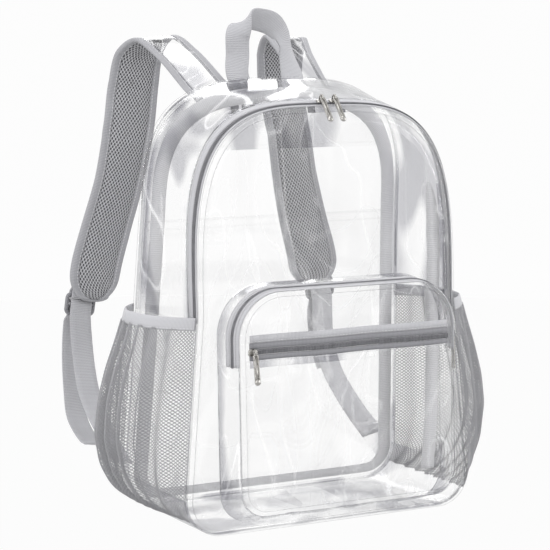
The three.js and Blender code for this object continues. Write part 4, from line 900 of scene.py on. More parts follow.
# Nickel plate on zinc: a warm silver mirror, slightly uneven from barrel polishing, with a
# thin dull film in random patches
nickel, tree = new_material("nickel_plated_zinc")
coords = add(tree, "ShaderNodeTexCoord")
worn = add(tree, "ShaderNodeTexNoise", {"Vector": coords.outputs["Object"],
                                        "Scale": 1 / 0.003, "Detail": 4.0})
tone = add(tree, "ShaderNodeMix", {0: worn.outputs["Fac"], 6: linear("#7d7b78"),
                                   7: linear("#bcbab6")}, data_type="RGBA")
dull = add(tree, "ShaderNodeMapRange", {0: worn.outputs["Fac"], 3: 0.2, 4: 0.4})
dents = add(tree, "ShaderNodeBump", {"Height": worn.outputs["Fac"], "Strength": 0.25,
                                     "Distance": 0.15 * MM})
surface = add(tree, "ShaderNodeBsdfPrincipled", {
    "Base Color": tone.outputs[2], "Metallic": 1.0, "Roughness": dull.outputs[0],
    "Normal": dents.outputs[0]})
add(tree, "ShaderNodeOutputMaterial", {"Surface": surface.outputs[0]})


def rounded_outline(wide, long, radius, steps=5):
    """Corners of a rounded rectangle round the origin."""
    found = []
    for cx, cy, first in ((1, 1, 0), (-1, 1, 90), (-1, -1, 180), (1, -1, 270)):
        for k in range(steps + 1):
            turn = math.radians(first + 90 * k / steps)
            found.append((cx * (wide / 2 - radius) + radius * math.cos(turn),
                          cy * (long / 2 - radius) + radius * math.sin(turn)))
    return found


def pillow(outline, levels):
    """Stack of an outline drawn in by an inset at each height, closed at both ends."""
    rows = []
    for height, inset in levels:
        rows.append([(x - math.copysign(min(inset, abs(x)), x),
                      y - math.copysign(min(inset, abs(y)), y), height) for x, y in outline])
    return grid(rows, around=True, ends=True)


def rod(path, radius, closed=False, sides=8):
    """Round bar along a path of points."""
    path = [Vector(p) for p in path]
    rows = []
    count = len(path)
    for k, point in enumerate(path):
        ahead = path[(k + 1) % count] if closed or k < count - 1 else point
        behind = path[k - 1] if closed or k > 0 else point
        way = (ahead - behind).normalized()
        side = way.cross(Vector((0, 0, 1)))
        if side.length < 0.3:
            side = way.cross(Vector((1, 0, 0)))
        side.normalize()
        up = side.cross(way)
        rows.append([tuple(point + (side * math.cos(a) + up * math.sin(a)) * radius)
                     for a in np.linspace(0, 2 * math.pi, sides, endpoint=False)])
    return grid(rows, around=True, closed=closed, ends=not closed)


def ball(centre, radius, squash=1.0):
    rows = []
    for k in range(1, 10):
        polar = math.pi * k / 10
        rows.append([(centre[0] + radius * math.sin(polar) * math.cos(a),
                      centre[1] + radius * math.sin(polar) * math.sin(a),
                      centre[2] + squash * radius * math.cos(polar))
                     for a in np.linspace(0, 2 * math.pi, 16, endpoint=False)])
    return grid(rows, around=True, ends=True)


def joined(shapes):
    """Several shapes as one list of points, faces and corner places."""
    points, faces, corners = [], [], []
    for own_points, own_faces, own_corners in shapes:
        first = len(points)
        points += [tuple(p) for p in own_points]
        faces += [tuple(v + first for v in face) for face in own_faces]
        corners += list(own_corners)
    return points, faces, corners


def turned(shape, matrix):
    points, faces, corners = shape
    return [tuple(matrix @ Vector(p)) for p in points], faces, corners


def slider_shape():
    """Lower and upper plates with a bail: x along the coil, y across it, z outwards."""
    plan = []
    for x, y in rounded_outline(SLIDER_LENGTH, SLIDER_WIDTH, 2.6):
        plan.append((x, y * (1 - 0.16 * (x / SLIDER_LENGTH + 0.5))))
    plate = pillow(plan, [(0.0, 0.4), (0.3, 0.0), (SLIDER_PLATE - 0.3, 0.0), (SLIDER_PLATE, 0.6),
                          (SLIDER_PLATE + 0.25, 1.7)])
    half = PULL_WIDTH / 2 + 0.9
    top = SLIDER_PLATE + BAIL_LIFT
    bail = [(0, -half, SLIDER_PLATE - 0.2), (0, -half, top - 1.6), (0, -half + 0.5, top - 0.5),
            (0, -half + 1.5, top), (0, half - 1.5, top), (0, half - 0.5, top - 0.5),
            (0, half, top - 1.6), (0, half, SLIDER_PLATE - 0.2)]
    crown = ball((SLIDER_LENGTH / 2 - 2.4, 0, SLIDER_PLATE + 0.1), 1.9, 0.6)
    return joined([plate, rod(bail, 0.62), crown])


def pull_shape():
    """An eye on the bail, a tab with a sunk slot and a knob: it hangs along -y."""
    eye = rod([(0, EYE_RING * math.cos(a), EYE_RING * math.sin(a))
               for a in np.linspace(0, 2 * math.pi, 20, endpoint=False)], EYE_WIRE, closed=True)
    flat_eye = turned(eye, Matrix.Scale(2.0, 4, (1, 0, 0)))
    neck = PULL_EYE * 0.9
    foot = PULL_LENGTH - 3.2
    middle = (neck + foot) / 2
    rim = [(x, y - middle, 0) for x, y in rounded_outline(PULL_WIDTH - 0.5, foot - neck, 1.4, 4)]
    frame_bar = rod(rim, TAB_RIM, closed=True)
    web = turned(pillow(rounded_outline(PULL_WIDTH - 1.6, foot - neck - 0.8, 0.8),
                        [(-0.3, 0.1), (0.3, 0.1)]), Matrix.Translation((0, -middle, 0)))
    knob = ball((0, -foot - 0.4, 0), PULL_WIDTH / 2 + KNOB_STANDS_OUT, 0.62)
    return joined([flat_eye, frame_bar, web, knob])


def along_axes(along, across, out, seat):
    return Matrix((
        (along[0], across[0], out[0], seat[0]), (along[1], across[1], out[1], seat[1]),
        (along[2], across[2], out[2], seat[2]), (0, 0, 0, 1)))


def add_slider(slider, pull, body, axes, hang):
    make(slider + "_cast", turned(slider_shape(), axes), nickel, [slider])
    swing = Matrix.Translation((0, 0, SLIDER_PLATE + BAIL_LIFT)) @ Matrix.Rotation(hang, 4, "X")
    make(pull + "_cast", turned(pull_shape(), axes @ swing), nickel, [pull], body=body)


def top_station(x):
    low, high = 3.0, 4.0
    for _ in range(40):
        middle = (low + high) / 2
        if outline_at(FRONT, middle, 0)[0] > abs(x):
            low = middle
        else:
            high = middle
    return low if x >= 0 else 8 - low


for name, along_mm in MAIN_SLIDERS:
    t = top_station(along_mm)
    ahead = zip_point(t, -COIL_RISE, COIL_MIDDLE - 3)
    behind = zip_point(t, -COIL_RISE, COIL_MIDDLE + 3)
    across = Vector(behind - ahead)
    across.x = 0
    across.normalize()
    out = Vector((1, 0, 0)).cross(across).normalized()
    seat = Vector(zip_point(t, -COIL_RISE, COIL_MIDDLE)) + out * 2 * GAP
    add_slider(f"main_slider_{name}", f"main_pull_{name}", f"main_pull_{name}_tab",
               along_axes((1, 0, 0), across, out, seat), MAIN_PULL_HANG)


# Front pocket. A clear box stands on the front panel: a gusset in two parts round it, a
# flatter face with its own piping, and the face cut in two by a zip.
POCKET_SEAM = {"half": 126, "foot": 11, "top": 241, "crown": 50, "heel": 30}
POCKET_FACE = {"half": 120, "foot": 24, "top": 236, "crown": 45, "heel": 26}
POCKET_DEPTH = 40
POCKET_ZIP_FOOT = 165
POCKET_REAR_STRIP = 14
POCKET_TAPE = 5
POCKET_FRONT = POCKET_DEPTH - PIPING
POCKET_WAVE = 1.4
FACE_WAVE = 1.6
POCKET_STATIONS = (14, 12, 14, 44)


def pocket_at(size, t, inset):
    right = t if t <= 4 else 8 - t
    sign = 1 if t <= 4 else -1
    half = size["half"] - inset
    heel = max(size["heel"] - inset, 1)
    crown = max(size["crown"] - inset, 1)
    foot = size["foot"] + inset
    top = size["top"] - inset
    segment = min(int(right), 3)
    share = right - segment
    turn = share * math.pi / 2
    if segment == 0:
        return sign * share * (half - heel), foot
    if segment == 1:
        return sign * (half - heel + heel * math.sin(turn)), foot + heel * (1 - math.cos(turn))
    if segment == 2:
        return sign * half, mix(foot + heel, top - crown, share)
    if share <= 0.5:
        bend = share * math.pi
        return (sign * (half - crown * (1 - math.cos(bend))),
                top - crown * (1 - math.sin(bend)))
    return sign * (half - crown) * (2 - 2 * share), top


def pocket_point(t, inset, distance):
    x, z = pocket_at(POCKET_SEAM, t, inset)
    u, w = pocket_at(POCKET_FACE, t, inset)
    a = np.array([x, front_y(z) + PANEL_REAR - GAP, z])
    b = np.array([u, front_y(w) + PANEL_REAR - POCKET_DEPTH, w])
    return a + (b - a) * distance / POCKET_DEPTH


def pocket_t_at(z):
    return 2 + share_of(z, POCKET_SEAM["foot"] + POCKET_SEAM["heel"],
                        POCKET_SEAM["top"] - POCKET_SEAM["crown"])


def pocket_wall(ts, near, far, wave, phase, columns=9):
    rows = []
    for t in ts:
        row = []
        for j in range(columns + 1):
            share = j / columns
            hold = math.sin(math.pi * share) ** 0.7
            move = wave * hold * (0.6 * math.sin(9 * t + phase) + 0.4 * math.sin(23 * t - phase))
            row.append(pocket_point(t, 0.6 - move, mix(near, far, share)))
        rows.append(row)
    return grid(rows)


pocket_foot_t = pocket_t_at(POCKET_ZIP_FOOT)
make("pocket_upper_strip", pocket_wall(stations(pocket_foot_t, 8 - pocket_foot_t,
                                                POCKET_STATIONS), 0, POCKET_REAR_STRIP, 0.5, 0.3),
     fold_pvc, ["pocket_gusset_upper"], wall=SHEET)
lower_ts = [*stations(8 - pocket_foot_t + 0.003, 8, POCKET_STATIONS)[:-1],
            *stations(0, pocket_foot_t - 0.003, POCKET_STATIONS)]
make("pocket_lower_strip", pocket_wall(lower_ts, 0, POCKET_FRONT - GAP, POCKET_WAVE, 1.3),
     fold_pvc, ["pocket_gusset_lower"], wall=SHEET)
make("pocket_face_piping", grid([[pocket_point(t, PIPING / 2 * (1 + math.cos(a)),
                                               POCKET_DEPTH - PIPING / 2 * (1 - math.sin(a)))
                                  for a in np.linspace(0, 2 * math.pi, 14, endpoint=False)]
                                 for t in loop(POCKET_STATIONS)], around=True, closed=True),
     cord_pvc, ["pocket_piping"])

# The pocket's own zip runs round its top between the two strips of its gusset
coil_rear = POCKET_REAR_STRIP + GAP + POCKET_TAPE + GAP
coil_width = POCKET_FRONT - GAP - POCKET_REAR_STRIP - 2 * POCKET_TAPE - 3 * GAP
tape_front = coil_rear + coil_width + GAP
pocket_ts = stations(pocket_foot_t, 8 - pocket_foot_t, POCKET_STATIONS)
make("pocket_zip_rear_tape", gusset_band(pocket_ts, pocket_point, POCKET_REAR_STRIP + GAP,
                                         coil_rear - GAP, -TAPE, 0), zip_tape,
     ["pocket_zip_tape_rear"])
make("pocket_zip_front_tape", gusset_band(pocket_ts, pocket_point, tape_front,
                                          tape_front + POCKET_TAPE, -TAPE, 0), zip_tape,
     ["pocket_zip_tape_front"])
make("pocket_zip_ground", gusset_band(pocket_ts, pocket_point, coil_rear,
                                      coil_rear + coil_width, -TAPE, 0.1), zip_tape)
pocket_coil_middle = coil_rear + coil_width / 2
teeth("pocket_zip_teeth", [
    (pocket_point(t, -0.1, pocket_coil_middle),
     pocket_point(t, -0.1, pocket_coil_middle) - pocket_point(t, 6, pocket_coil_middle))
    for t in pocket_ts], ["pocket_zip_coil"])

# Face of the pocket, its zip with a wide upper tape, and the zip's slider
FACE_ZIP = 181
FACE_TAPE_UPPER = 6
FACE_TAPE_LOWER = 5
FACE_ZIP_END = 4
FACE_SLIDER_FROM_MIDDLE = 108.5
FACE_INSET = PIPING + GAP
COIL_LOW = FACE_ZIP - ZIP_COIL / 2
COIL_HIGH = FACE_ZIP + ZIP_COIL / 2


def face_y(z):
    return front_y(z) + PANEL_REAR - POCKET_DEPTH + PIPING / 2


def face_t(height):
    low, high = 1.0, 3.5
    for _ in range(40):
        middle = (low + high) / 2
        if pocket_at(POCKET_FACE, middle, FACE_INSET)[1] < height:
            low = middle
        else:
            high = middle
    return low


def face_sheet(ts, centre, phase):
    edge = [pocket_at(POCKET_FACE, t, FACE_INSET) for t in ts]
    first, last = np.array(edge[0]), np.array(edge[-1])
    closing = [tuple(last + (first - last) * k / 40) for k in range(1, 40)]

    def place(x, z, inwards):
        wave = FACE_WAVE * min(inwards * 4, 1) * ripple(x, z, 48, phase)
        return x, face_y(z) + wave, z

    return filled([*edge, *closing], np.array(centre), place)


upper_t = face_t(COIL_HIGH + GAP + FACE_TAPE_UPPER + GAP)
lower_t = face_t(COIL_LOW - GAP - FACE_TAPE_LOWER - GAP)
make("pocket_face_top_sheet", face_sheet(stations(upper_t, 8 - upper_t, POCKET_STATIONS),
                                         (0, 208), 2.2), panel_pvc,
     ["pocket_face_upper"], wall=SHEET)
make("pocket_face_main_sheet", face_sheet([*stations(8 - lower_t, 8, POCKET_STATIONS)[:-1],
                                           *stations(0, lower_t, POCKET_STATIONS)],
                                          (0, 100), 0.6), panel_pvc,
     ["pocket_face_lower"], wall=SHEET)
face_half = pocket_at(POCKET_FACE, upper_t, FACE_INSET)[0] - FACE_ZIP_END


def face_band(low, high, front, rear, round_up=0.0):
    rows = []
    for k in range(25):
        x = mix(-face_half, face_half, k / 24)
        bow = 0.25 * math.sin(k * 0.55)
        middle = (low + high) / 2
        rows.append([(x, face_y(low) - front, low + bow),
                     (x, face_y(middle) - front - round_up, middle + bow),
                     (x, face_y(high) - front, high + bow),
                     (x, face_y(high) + rear, high + bow), (x, face_y(low) + rear, low + bow)])
    return grid(rows, around=True, ends=True)


# Both face tapes are the darker tape copy: painted shade under the face's flap
make("face_zip_upper_tape", face_band(COIL_HIGH + GAP, COIL_HIGH + GAP + FACE_TAPE_UPPER,
                                      0.6, 0.5, 0.2), zip_tape_painted_shade,
     ["face_zip_tape_upper"])
make("face_zip_lower_tape", face_band(COIL_LOW - GAP - FACE_TAPE_LOWER, COIL_LOW - GAP,
                                      0.6, 0.5, 0.2), zip_tape_painted_shade,
     ["face_zip_tape_lower"])
# The ground under the coil is the darker tape copy: painted shade between the teeth
make("face_zip_ground", face_band(COIL_LOW, COIL_HIGH, 0.3, 0.5), zip_tape_painted_shade)
make("face_zip_top_fold", face_band(COIL_HIGH + FACE_TAPE_UPPER, COIL_HIGH + 13.5, 0.9, -0.55),
     zip_tape)
make("face_zip_foot_fold", face_band(COIL_LOW - 12.5, COIL_LOW - FACE_TAPE_LOWER, 0.9, -0.55),
     fold_pvc)


def face_path(height, lift, ends=0.0):
    return [((x, face_y(height) - lift, height + 0.25 * math.sin((x + face_half) /
                                                                 (2 * face_half) * 24 * 0.55)),
             (0, -1, 0.035))
            for x in np.linspace(-face_half + ends, face_half - ends, 60)]


teeth("face_zip_teeth", face_path(FACE_ZIP, 0.5), ["face_zip_coil"])
sew("face_zip_stitches", [face_path(COIL_HIGH + FACE_TAPE_UPPER + 1.4, 1.1),
                          face_path(COIL_LOW - FACE_TAPE_LOWER - 1.2, 1.1)])
lean = math.atan(FRONT_LEAN / FRONT["top"])
face_out = Vector((0, -math.cos(lean), math.sin(lean)))
face_across = face_out.cross(Vector((1, 0, 0))).normalized()
face_seat = Vector((-FACE_SLIDER_FROM_MIDDLE, face_y(FACE_ZIP), FACE_ZIP))
face_seat += face_out * (0.6 + COIL_RISE + GAP)
add_slider("face_slider", "face_pull", "face_pull_tab",
           along_axes((1, 0, 0), face_across, face_out, face_seat), FACE_PULL_HANG)

# The slider of the pocket's own zip waits at its right end, with its tab held flat
POCKET_SLIDER_ABOVE_FOOT = 9
t = pocket_t_at(POCKET_ZIP_FOOT + POCKET_SLIDER_ABOVE_FOOT)
pocket_seat = Vector(pocket_point(t, -COIL_RISE - GAP, pocket_coil_middle))
pocket_up = Vector(pocket_point(t + 0.05, 0, pocket_coil_middle)
                   - pocket_point(t, 0, pocket_coil_middle)).normalized()
forward = Vector(pocket_point(t, 0, POCKET_FRONT) - pocket_point(t, 0, 0))
pocket_out = forward.cross(pocket_up).normalized()
if pocket_out.x < 0:
    pocket_out.negate()
pocket_across = pocket_out.cross(pocket_up).normalized()
low_pull = turned(pull_shape(), Matrix.Translation((0, 0, SLIDER_PLATE + 1.0))
                  @ Matrix.Rotation(math.radians(-90), 4, "Z"))
low_plate = pillow(rounded_outline(SLIDER_LENGTH, SLIDER_WIDTH, 2.6),
                   [(0.0, 0.4), (0.3, 0.0), (SLIDER_PLATE - 0.3, 0.0), (SLIDER_PLATE, 0.6)])
make("pocket_slider_cast", turned(joined([low_plate, low_pull]),
                                  along_axes(pocket_up, pocket_across, pocket_out, pocket_seat)),
     nickel, ["pocket_slider"])


# Side pockets. Knitted diamond net is gathered on a gray elastic band on top, and sewn into
# the seams at both sides and below, so that it stands out in a belly with upright folds.
NET_STAND = 0.9
BAND_TOP = FRONT["spring"]
BAND_HEIGHT = 12
NET_FOOT = 16
BULGE = 54
NET_FOLDS = 9
FOLD_DEPTH = 9.0
NET_MESH = 4.1  # corner to corner of one diamond
NET_YARN = 1.0
NET_WIDTH = 252  # of the flat cloth
NET_HEIGHT = 232
NET_PROFILE = [(0.0, 0.02), (0.03, 0.24), (0.11, 0.58), (0.22, 0.84), (0.38, 1.0),
               (0.55, 0.97), (0.7, 0.86), (0.85, 0.68), (1.0, 0.54)]
profile_heights = [h for h, _ in NET_PROFILE]
profile_bulges = [b for _, b in NET_PROFILE]


def bulge_at(rise):
    """Smooth course through the rows of the profile."""
    near = [np.interp(min(max(rise + d, 0), 1), profile_heights, profile_bulges)
            for d in (-0.03, -0.015, 0, 0.015, 0.03)]
    return float(sum(near) / len(near)) if 0.04 < rise < 0.97 else near[2]


def over_side(height, share, lift, out):
    """Over the right side panel: share of the way to the back seam, and how far it stands out."""
    x, z = side_at(FRONT, height, -lift)
    u, w = side_at(BACK, height, -lift)
    a = np.array([x, front_y(z), z])
    b = np.array([u, back_y(w), w])
    inside = SEAM / np.linalg.norm(b - a)
    return a + (b - a) * mix(inside, 1 - inside, share) + np.array([out, 0, 0])


def belly(share):
    return 1 - abs(2 * share - 1) ** 2.6


def net_point(height, share, side):
    rise = share_of(height, NET_FOOT, BAND_TOP)
    gather = math.sin(math.pi * min(max(rise, 0), 1) * 0.86 + 0.3) ** 0.5 * belly(share)
    bend = 0.5 * math.sin(2.1 * rise + 4 * share)
    fold = FOLD_DEPTH * gather * math.sin((share * NET_FOLDS + bend) * 2 * math.pi)
    out = BULGE * bulge_at(rise) * belly(share) + fold * 0.55 + 0.8
    point = over_side(height, share, NET_STAND, out)
    return np.array([side * point[0], point[1], point[2]])


# Polyester net yarn: pale gray, round and slightly glossy, its tone varying at random in small
# patches and in long upright streaks
net_yarn, tree = new_material("knitted_polyester_net")
coords = add(tree, "ShaderNodeTexCoord")
knots = add(tree, "ShaderNodeTexNoise", {"Vector": coords.outputs["Object"],
                                         "Scale": 1 / 0.0025, "Detail": 2.0})
upright = add(tree, "ShaderNodeMapping", {"Vector": coords.outputs["Object"],
                                          "Scale": (1.0, 1.0, 0.12)})
folds = add(tree, "ShaderNodeTexNoise", {"Vector": upright.outputs[0], "Scale": 1 / 0.011,
                                         "Detail": 1.0})
tone = add(tree, "ShaderNodeMix", {0: knots.outputs["Fac"], 6: linear("#666669"),
                                   7: linear("#a4a4a7")}, data_type="RGBA")
tone = add(tree, "ShaderNodeMix", {0: folds.outputs["Fac"], 6: tone.outputs[2],
                                   7: linear("#8e8e91")}, data_type="RGBA")
surface = add(tree, "ShaderNodeBsdfPrincipled", {"Base Color": tone.outputs[2],
                                                 "Roughness": 0.6, "Sheen Weight": 0.1})
add(tree, "ShaderNodeOutputMaterial", {"Surface": surface.outputs[0]})

# Tree that turns the way of each yarn into a thin round yarn
yarn_tree = bpy.data.node_groups.new("net_yarns", "GeometryNodeTree")
for socket, kind in (("Paths", "NodeSocketGeometry"), ("Radius", "NodeSocketFloat"),
                     ("Finish", "NodeSocketMaterial")):
    yarn_tree.interface.new_socket(socket, in_out="INPUT", socket_type=kind)
yarn_tree.interface.new_socket("Net", in_out="OUTPUT", socket_type="NodeSocketGeometry")
given = add(yarn_tree, "NodeGroupInput")
curves = add(yarn_tree, "GeometryNodeMeshToCurve", {"Mesh": given.outputs["Paths"]})
ring = add(yarn_tree, "GeometryNodeCurvePrimitiveCircle", {"Resolution": 3,
                                                           "Radius": given.outputs["Radius"]},
           mode="RADIUS")
tube = add(yarn_tree, "GeometryNodeCurveToMesh", {"Curve": curves.outputs[0],
                                                  "Profile Curve": ring.outputs[0],
                                                  "Fill Caps": True})
real = add(yarn_tree, "GeometryNodeRealizeInstances", {0: tube.outputs[0]})
dressed = add(yarn_tree, "GeometryNodeSetMaterial", {"Geometry": real.outputs[0],
                                                     "Material": given.outputs["Finish"]})
add(yarn_tree, "NodeGroupOutput", {"Net": dressed.outputs[0]})


def net_yarns(side):
    """Ways of the yarns that run up to the left and up to the right over the net's belly."""
    columns = int(NET_WIDTH / NET_MESH)
    rows = int(NET_HEIGHT / NET_MESH)
    top = BAND_TOP - BAND_HEIGHT + 2
    ways = []
    for slope in (1, -1):
        for start in range(-rows if slope > 0 else 0, columns if slope > 0 else columns + rows):
            way = []
            for step in range(2 * rows + 1):
                u = start + slope * step / 2
                if 0 <= u <= columns:
                    height = mix(NET_FOOT, top, step / (2 * rows))
                    point = net_point(height, u / columns, side)
                    way.append((point, (side, 0, 0)))
            if len(way) > 1:
                ways.append(way)
    return ways


def elastic_band(side):
    """The gathered band: a rounded ribbon round the pocket's mouth."""
    rows = []
    foot, top = BAND_TOP - BAND_HEIGHT, BAND_TOP
    for k in range(73):
        share = k / 72
        ring = []
        for z, lift in ((foot, 0.2), (foot - 0.2, 1.2), (foot + 1, 2.0), (foot + 4, 2.25),
                        (top - 4, 2.25), (top - 1, 2.0), (top, 1.1), (top - 0.4, 0.2),
                        (top - 4, 0.0), (foot + 4, 0.0)):
            rise = share_of(z, NET_FOOT, BAND_TOP)
            out = BULGE * bulge_at(rise) * belly(share) + lift
            out += 0.35 * math.sin(share * 31) * belly(share)
            p = over_side(z, share, NET_STAND, out)
            ring.append((side * p[0], p[1], p[2]))
        rows.append(ring)
    return grid(rows, around=True, ends=True)


# Elastic: covered rubber tape with fine upright ribs, paler than the webbing
elastic = woven("covered_elastic", "#b6b6b9", "#929296", 1.3, 2.6, 0.15, 0.8, 0.2)
for side, name in ((1, "right"), (-1, "left")):
    grown(f"net_pocket_{name}", path_mesh("net_ways", net_yarns(side)), yarn_tree,
          {"Radius": NET_YARN / 2 * MM, "Finish": net_yarn}, net_yarn,
          [f"side_pocket_{name}"])
    make(f"elastic_band_{name}", elastic_band(side), elastic,
         [f"pocket_band_{name}"])
    row = []
    for share in np.linspace(0.01, 0.99, 90):
        z = BAND_TOP - BAND_HEIGHT + 1.6
        out = BULGE * bulge_at(share_of(z, NET_FOOT, BAND_TOP)) * belly(share) + 2.3
        out += 0.35 * math.sin(share * 31) * belly(share)
        p = over_side(z, share, NET_STAND, out)
        row.append(((side * p[0], p[1], p[2]), (side, 0, 0)))
    sew(f"band_stitches_{name}", [row])


# Haul handle. One length of gray polyester webbing, sewn down at both feet on the back panel
# and bent over on two slanting folds, so that the loop leans and shows its underside on top.
HANDLE_REACH = 28.5
HANDLE_STAND = 26
HANDLE_HEIGHT = 92
HANDLE_FOOT = BACK["top"] - 36
WEBBING = 1.6
WEBBING_WIDTH = 25
# across, back and up as shares; how far the width climbs to the right and how far it leans back
HANDLE_ROWS = [
    (-0.85, 0.0, 0.0, 0, 0), (-0.87, 0.1, 0.13, 0, 0), (-1.19, 0.56, 0.39, 0, -2),
    (-1.05, 0.87, 0.63, 9, -6), (-0.99, 0.94, 0.86, 31, -12), (-0.6, 1.13, 1.01, 41, -14),
    (0.11, 1.4, 1.01, 50, -14), (0.72, 1.6, 0.96, 50, -4), (1.11, 1.67, 0.86, 36, 19),
    (1.26, 1.56, 0.7, 14, 36), (1.23, 1.25, 0.54, 0, 16), (1.18, 0.87, 0.39, 0, 0),
    (0.88, 0.12, 0.13, 0, 0), (0.85, 0.0, 0.0, 0, 0),
]

# Webbing: thick yarns that make ribs across it, with a dry look
webbing_cloth = woven("polyester_webbing", "#b1b1b4", "#89898d", 1.7, 3.1, 0.35, 0.8, 0.3)


def course(points, share):
    """Point and direction on a smooth curve through points, spaced by their distances."""
    points = [np.asarray(p, dtype=float) for p in points]
    count = len(points)
    place = (count - 1) * share
    low = min(int(place), count - 2)
    w = place - low
    p1, p2 = points[low], points[low + 1]
    p0 = points[low - 1] if low > 0 else 2 * points[0] - points[1]
    p3 = points[low + 2] if low + 2 < count else 2 * points[-1] - points[-2]
    d0, d1, d2 = (np.linalg.norm(b - a) ** 0.5 for a, b in ((p0, p1), (p1, p2), (p2, p3)))
    d1 = d1 if d1 > 1e-4 else 1.0
    d0 = d0 if d0 > 1e-4 else d1
    d2 = d2 if d2 > 1e-4 else d1
    t1 = ((p1 - p0) / d0 - (p2 - p0) / (d0 + d1) + (p2 - p1) / d1) * d1
    t2 = ((p2 - p1) / d1 - (p3 - p1) / (d1 + d2) + (p3 - p2) / d2) * d1
    c2 = -3 * p1 + 3 * p2 - 2 * t1 - t2
    c3 = 2 * p1 - 2 * p2 + t1 + t2
    return p1 + t1 * w + c2 * w * w + c3 * w ** 3, t1 + 2 * c2 * w + 3 * c3 * w * w


def ribbon_frames(middles, widths, steps=9):
    """Stations of a ribbon: middle, way along, way across and way out of its face."""
    spans = len(middles) - 1
    found = []
    for k in range(spans * steps + 1):
        share = k / (spans * steps)
        middle, along_way = course(middles, share)
        along_way = along_way / max(np.linalg.norm(along_way), 1e-9)
        across_way, _ = course(widths, share)
        across_way = across_way - along_way * across_way.dot(along_way)
        across_way = across_way / np.linalg.norm(across_way)
        out_way = np.cross(across_way, along_way)
        found.append({"share": share, "middle": middle, "along": along_way,
                      "across": across_way, "out": out_way / np.linalg.norm(out_way)})
    return found


def ribbon_shape(frames, width, thick, cup=0.0):
    """Woven ribbon with soft selvedges, a little cupped across its width."""
    half = width / 2
    section = [(-half, -0.2), (-half + 0.5, -0.5), (-half * 0.5, -0.5), (0, -0.5),
               (half * 0.5, -0.5), (half - 0.5, -0.5), (half, -0.2), (half, 0.2),
               (half - 0.5, 0.5), (half * 0.5, 0.5), (0, 0.5), (-half * 0.5, 0.5),
               (-half + 0.5, 0.5), (-half, 0.2)]
    rows = []
    for f in frames:
        rows.append([f["middle"] + f["across"] * w
                     + f["out"] * (n * thick + cup * (1 - (w / half) ** 2)) for w, n in section])
    return grid(rows, around=True, ends=True)


handle_face = 1.5 * GAP + WEBBING / 2 - PANEL_REAR
handle_middles, handle_widths = [], []
for across_share, back_share, up_share, climb, lean in HANDLE_ROWS:
    z = HANDLE_FOOT + HANDLE_HEIGHT * up_share
    y = back_y(HANDLE_FOOT) + handle_face + HANDLE_STAND * back_share
    if back_share < 0.2:
        y += back_y(z) - back_y(HANDLE_FOOT)
    handle_middles.append((HANDLE_REACH * across_share, y, z))
    climb, lean = math.radians(climb), math.radians(lean)
    handle_widths.append((math.cos(climb) * math.cos(lean), math.sin(lean),
                          math.sin(climb) * math.cos(lean)))
handle_frames = ribbon_frames(handle_middles, handle_widths)
make("haul_handle_webbing", ribbon_shape(handle_frames, WEBBING_WIDTH, WEBBING), webbing_cloth,
     ["haul_handle"])


def ribbon_line(frames, across_mm, out_mm):
    return [(f["middle"] + f["across"] * across_mm + f["out"] * out_mm,
             f["out"] * math.copysign(1, out_mm)) for f in frames]


foot_rows = []
for part in (handle_frames[:14], handle_frames[-14:]):
    for w in (-9.5, 9.5):
        foot_rows.append(ribbon_line(part, w, WEBBING / 2 + 0.05))
        foot_rows.append(ribbon_line(part, w, -WEBBING / 2 - 0.05))
sew("handle_stitches", foot_rows)


# Shoulder straps. Each starts as clear sheet between two bindings, bends over behind the bag
# and goes on as a foam pad: knitted spacer mesh inside, clear sheet outside, and a folded
# gray tape sewn round the whole edge.
STRAP_WIDTH = 57
STRAP_REACH = 154
STRAP_PAD = 7
STRAP_EDGE_WIDTH = 9
STRAP_EDGE_THIN = 2.4
STRAP_END_ROUND = 30
END_STEPS = 22
PAD_START = 0.35
# spread, reach and rise as shares; width; how far the outer edge trails and drops; padding
STRAP_ROWS = [
    (0.39, 0.0, 0.913, 0.8, 0, 0.1, 0), (0.391, 0.035, 0.95, 0.8, 0, 0.18, 0),
    (0.397, 0.21, 0.982, 0.81, 0, 0.24, 0), (0.434, 0.53, 1.051, 0.83, 0, 0.15, 0),
    (0.485, 0.76, 1.087, 0.88, 0, 0.07, 0.4), (0.53, 0.91, 1.052, 0.97, 0.04, 0.13, 0.9),
    (0.553, 0.965, 0.975, 0.98, 0.07, 0.14, 1), (0.59, 0.95, 0.887, 0.98, 0.09, 0, 1),
    (0.616, 0.945, 0.836, 0.97, 0.09, 0, 1), (0.668, 0.965, 0.736, 0.96, 0.03, 0, 1),
    (0.752, 0.995, 0.623, 1.0, -0.03, 0, 1), (0.825, 1.0, 0.528, 1.03, -0.07, 0, 1),
    (0.856, 1.0, 0.446, 1.03, -0.07, 0, 1),
]

# Spacer mesh: a warp knit of two faces over upright threads. Its staggered oval holes, between
# thick pale yarns, are painted near black as the shade down in them.
spacer, tree = new_material("knitted_spacer_mesh")
HOLE_ACROSS = 3.6
HOLE_ALONG = 5.4
cloth = add(tree, "ShaderNodeUVMap", uv_map="cloth")
apart = add(tree, "ShaderNodeSeparateXYZ", {0: cloth.outputs[0]})
coords = add(tree, "ShaderNodeTexCoord")
drift = add(tree, "ShaderNodeTexNoise", {"Vector": coords.outputs["Object"],
                                         "Scale": 1 / 0.02, "Detail": 1.0})
waves = []
for out, pitch in ((0, HOLE_ACROSS), (1, HOLE_ALONG)):
    pushed = add(tree, "ShaderNodeMath", {0: drift.outputs["Fac"], 1: 1.6,
                                          2: apart.outputs[out]}, operation="MULTIPLY_ADD")
    turn = add(tree, "ShaderNodeMath", {0: pushed.outputs[0], 1: 2 * math.pi / pitch},
               operation="MULTIPLY")
    waves.append(add(tree, "ShaderNodeMath", {0: turn.outputs[0]}, operation="COSINE"))
hole = add(tree, "ShaderNodeMath", {0: waves[0].outputs[0], 1: waves[1].outputs[0]},
           operation="MULTIPLY")
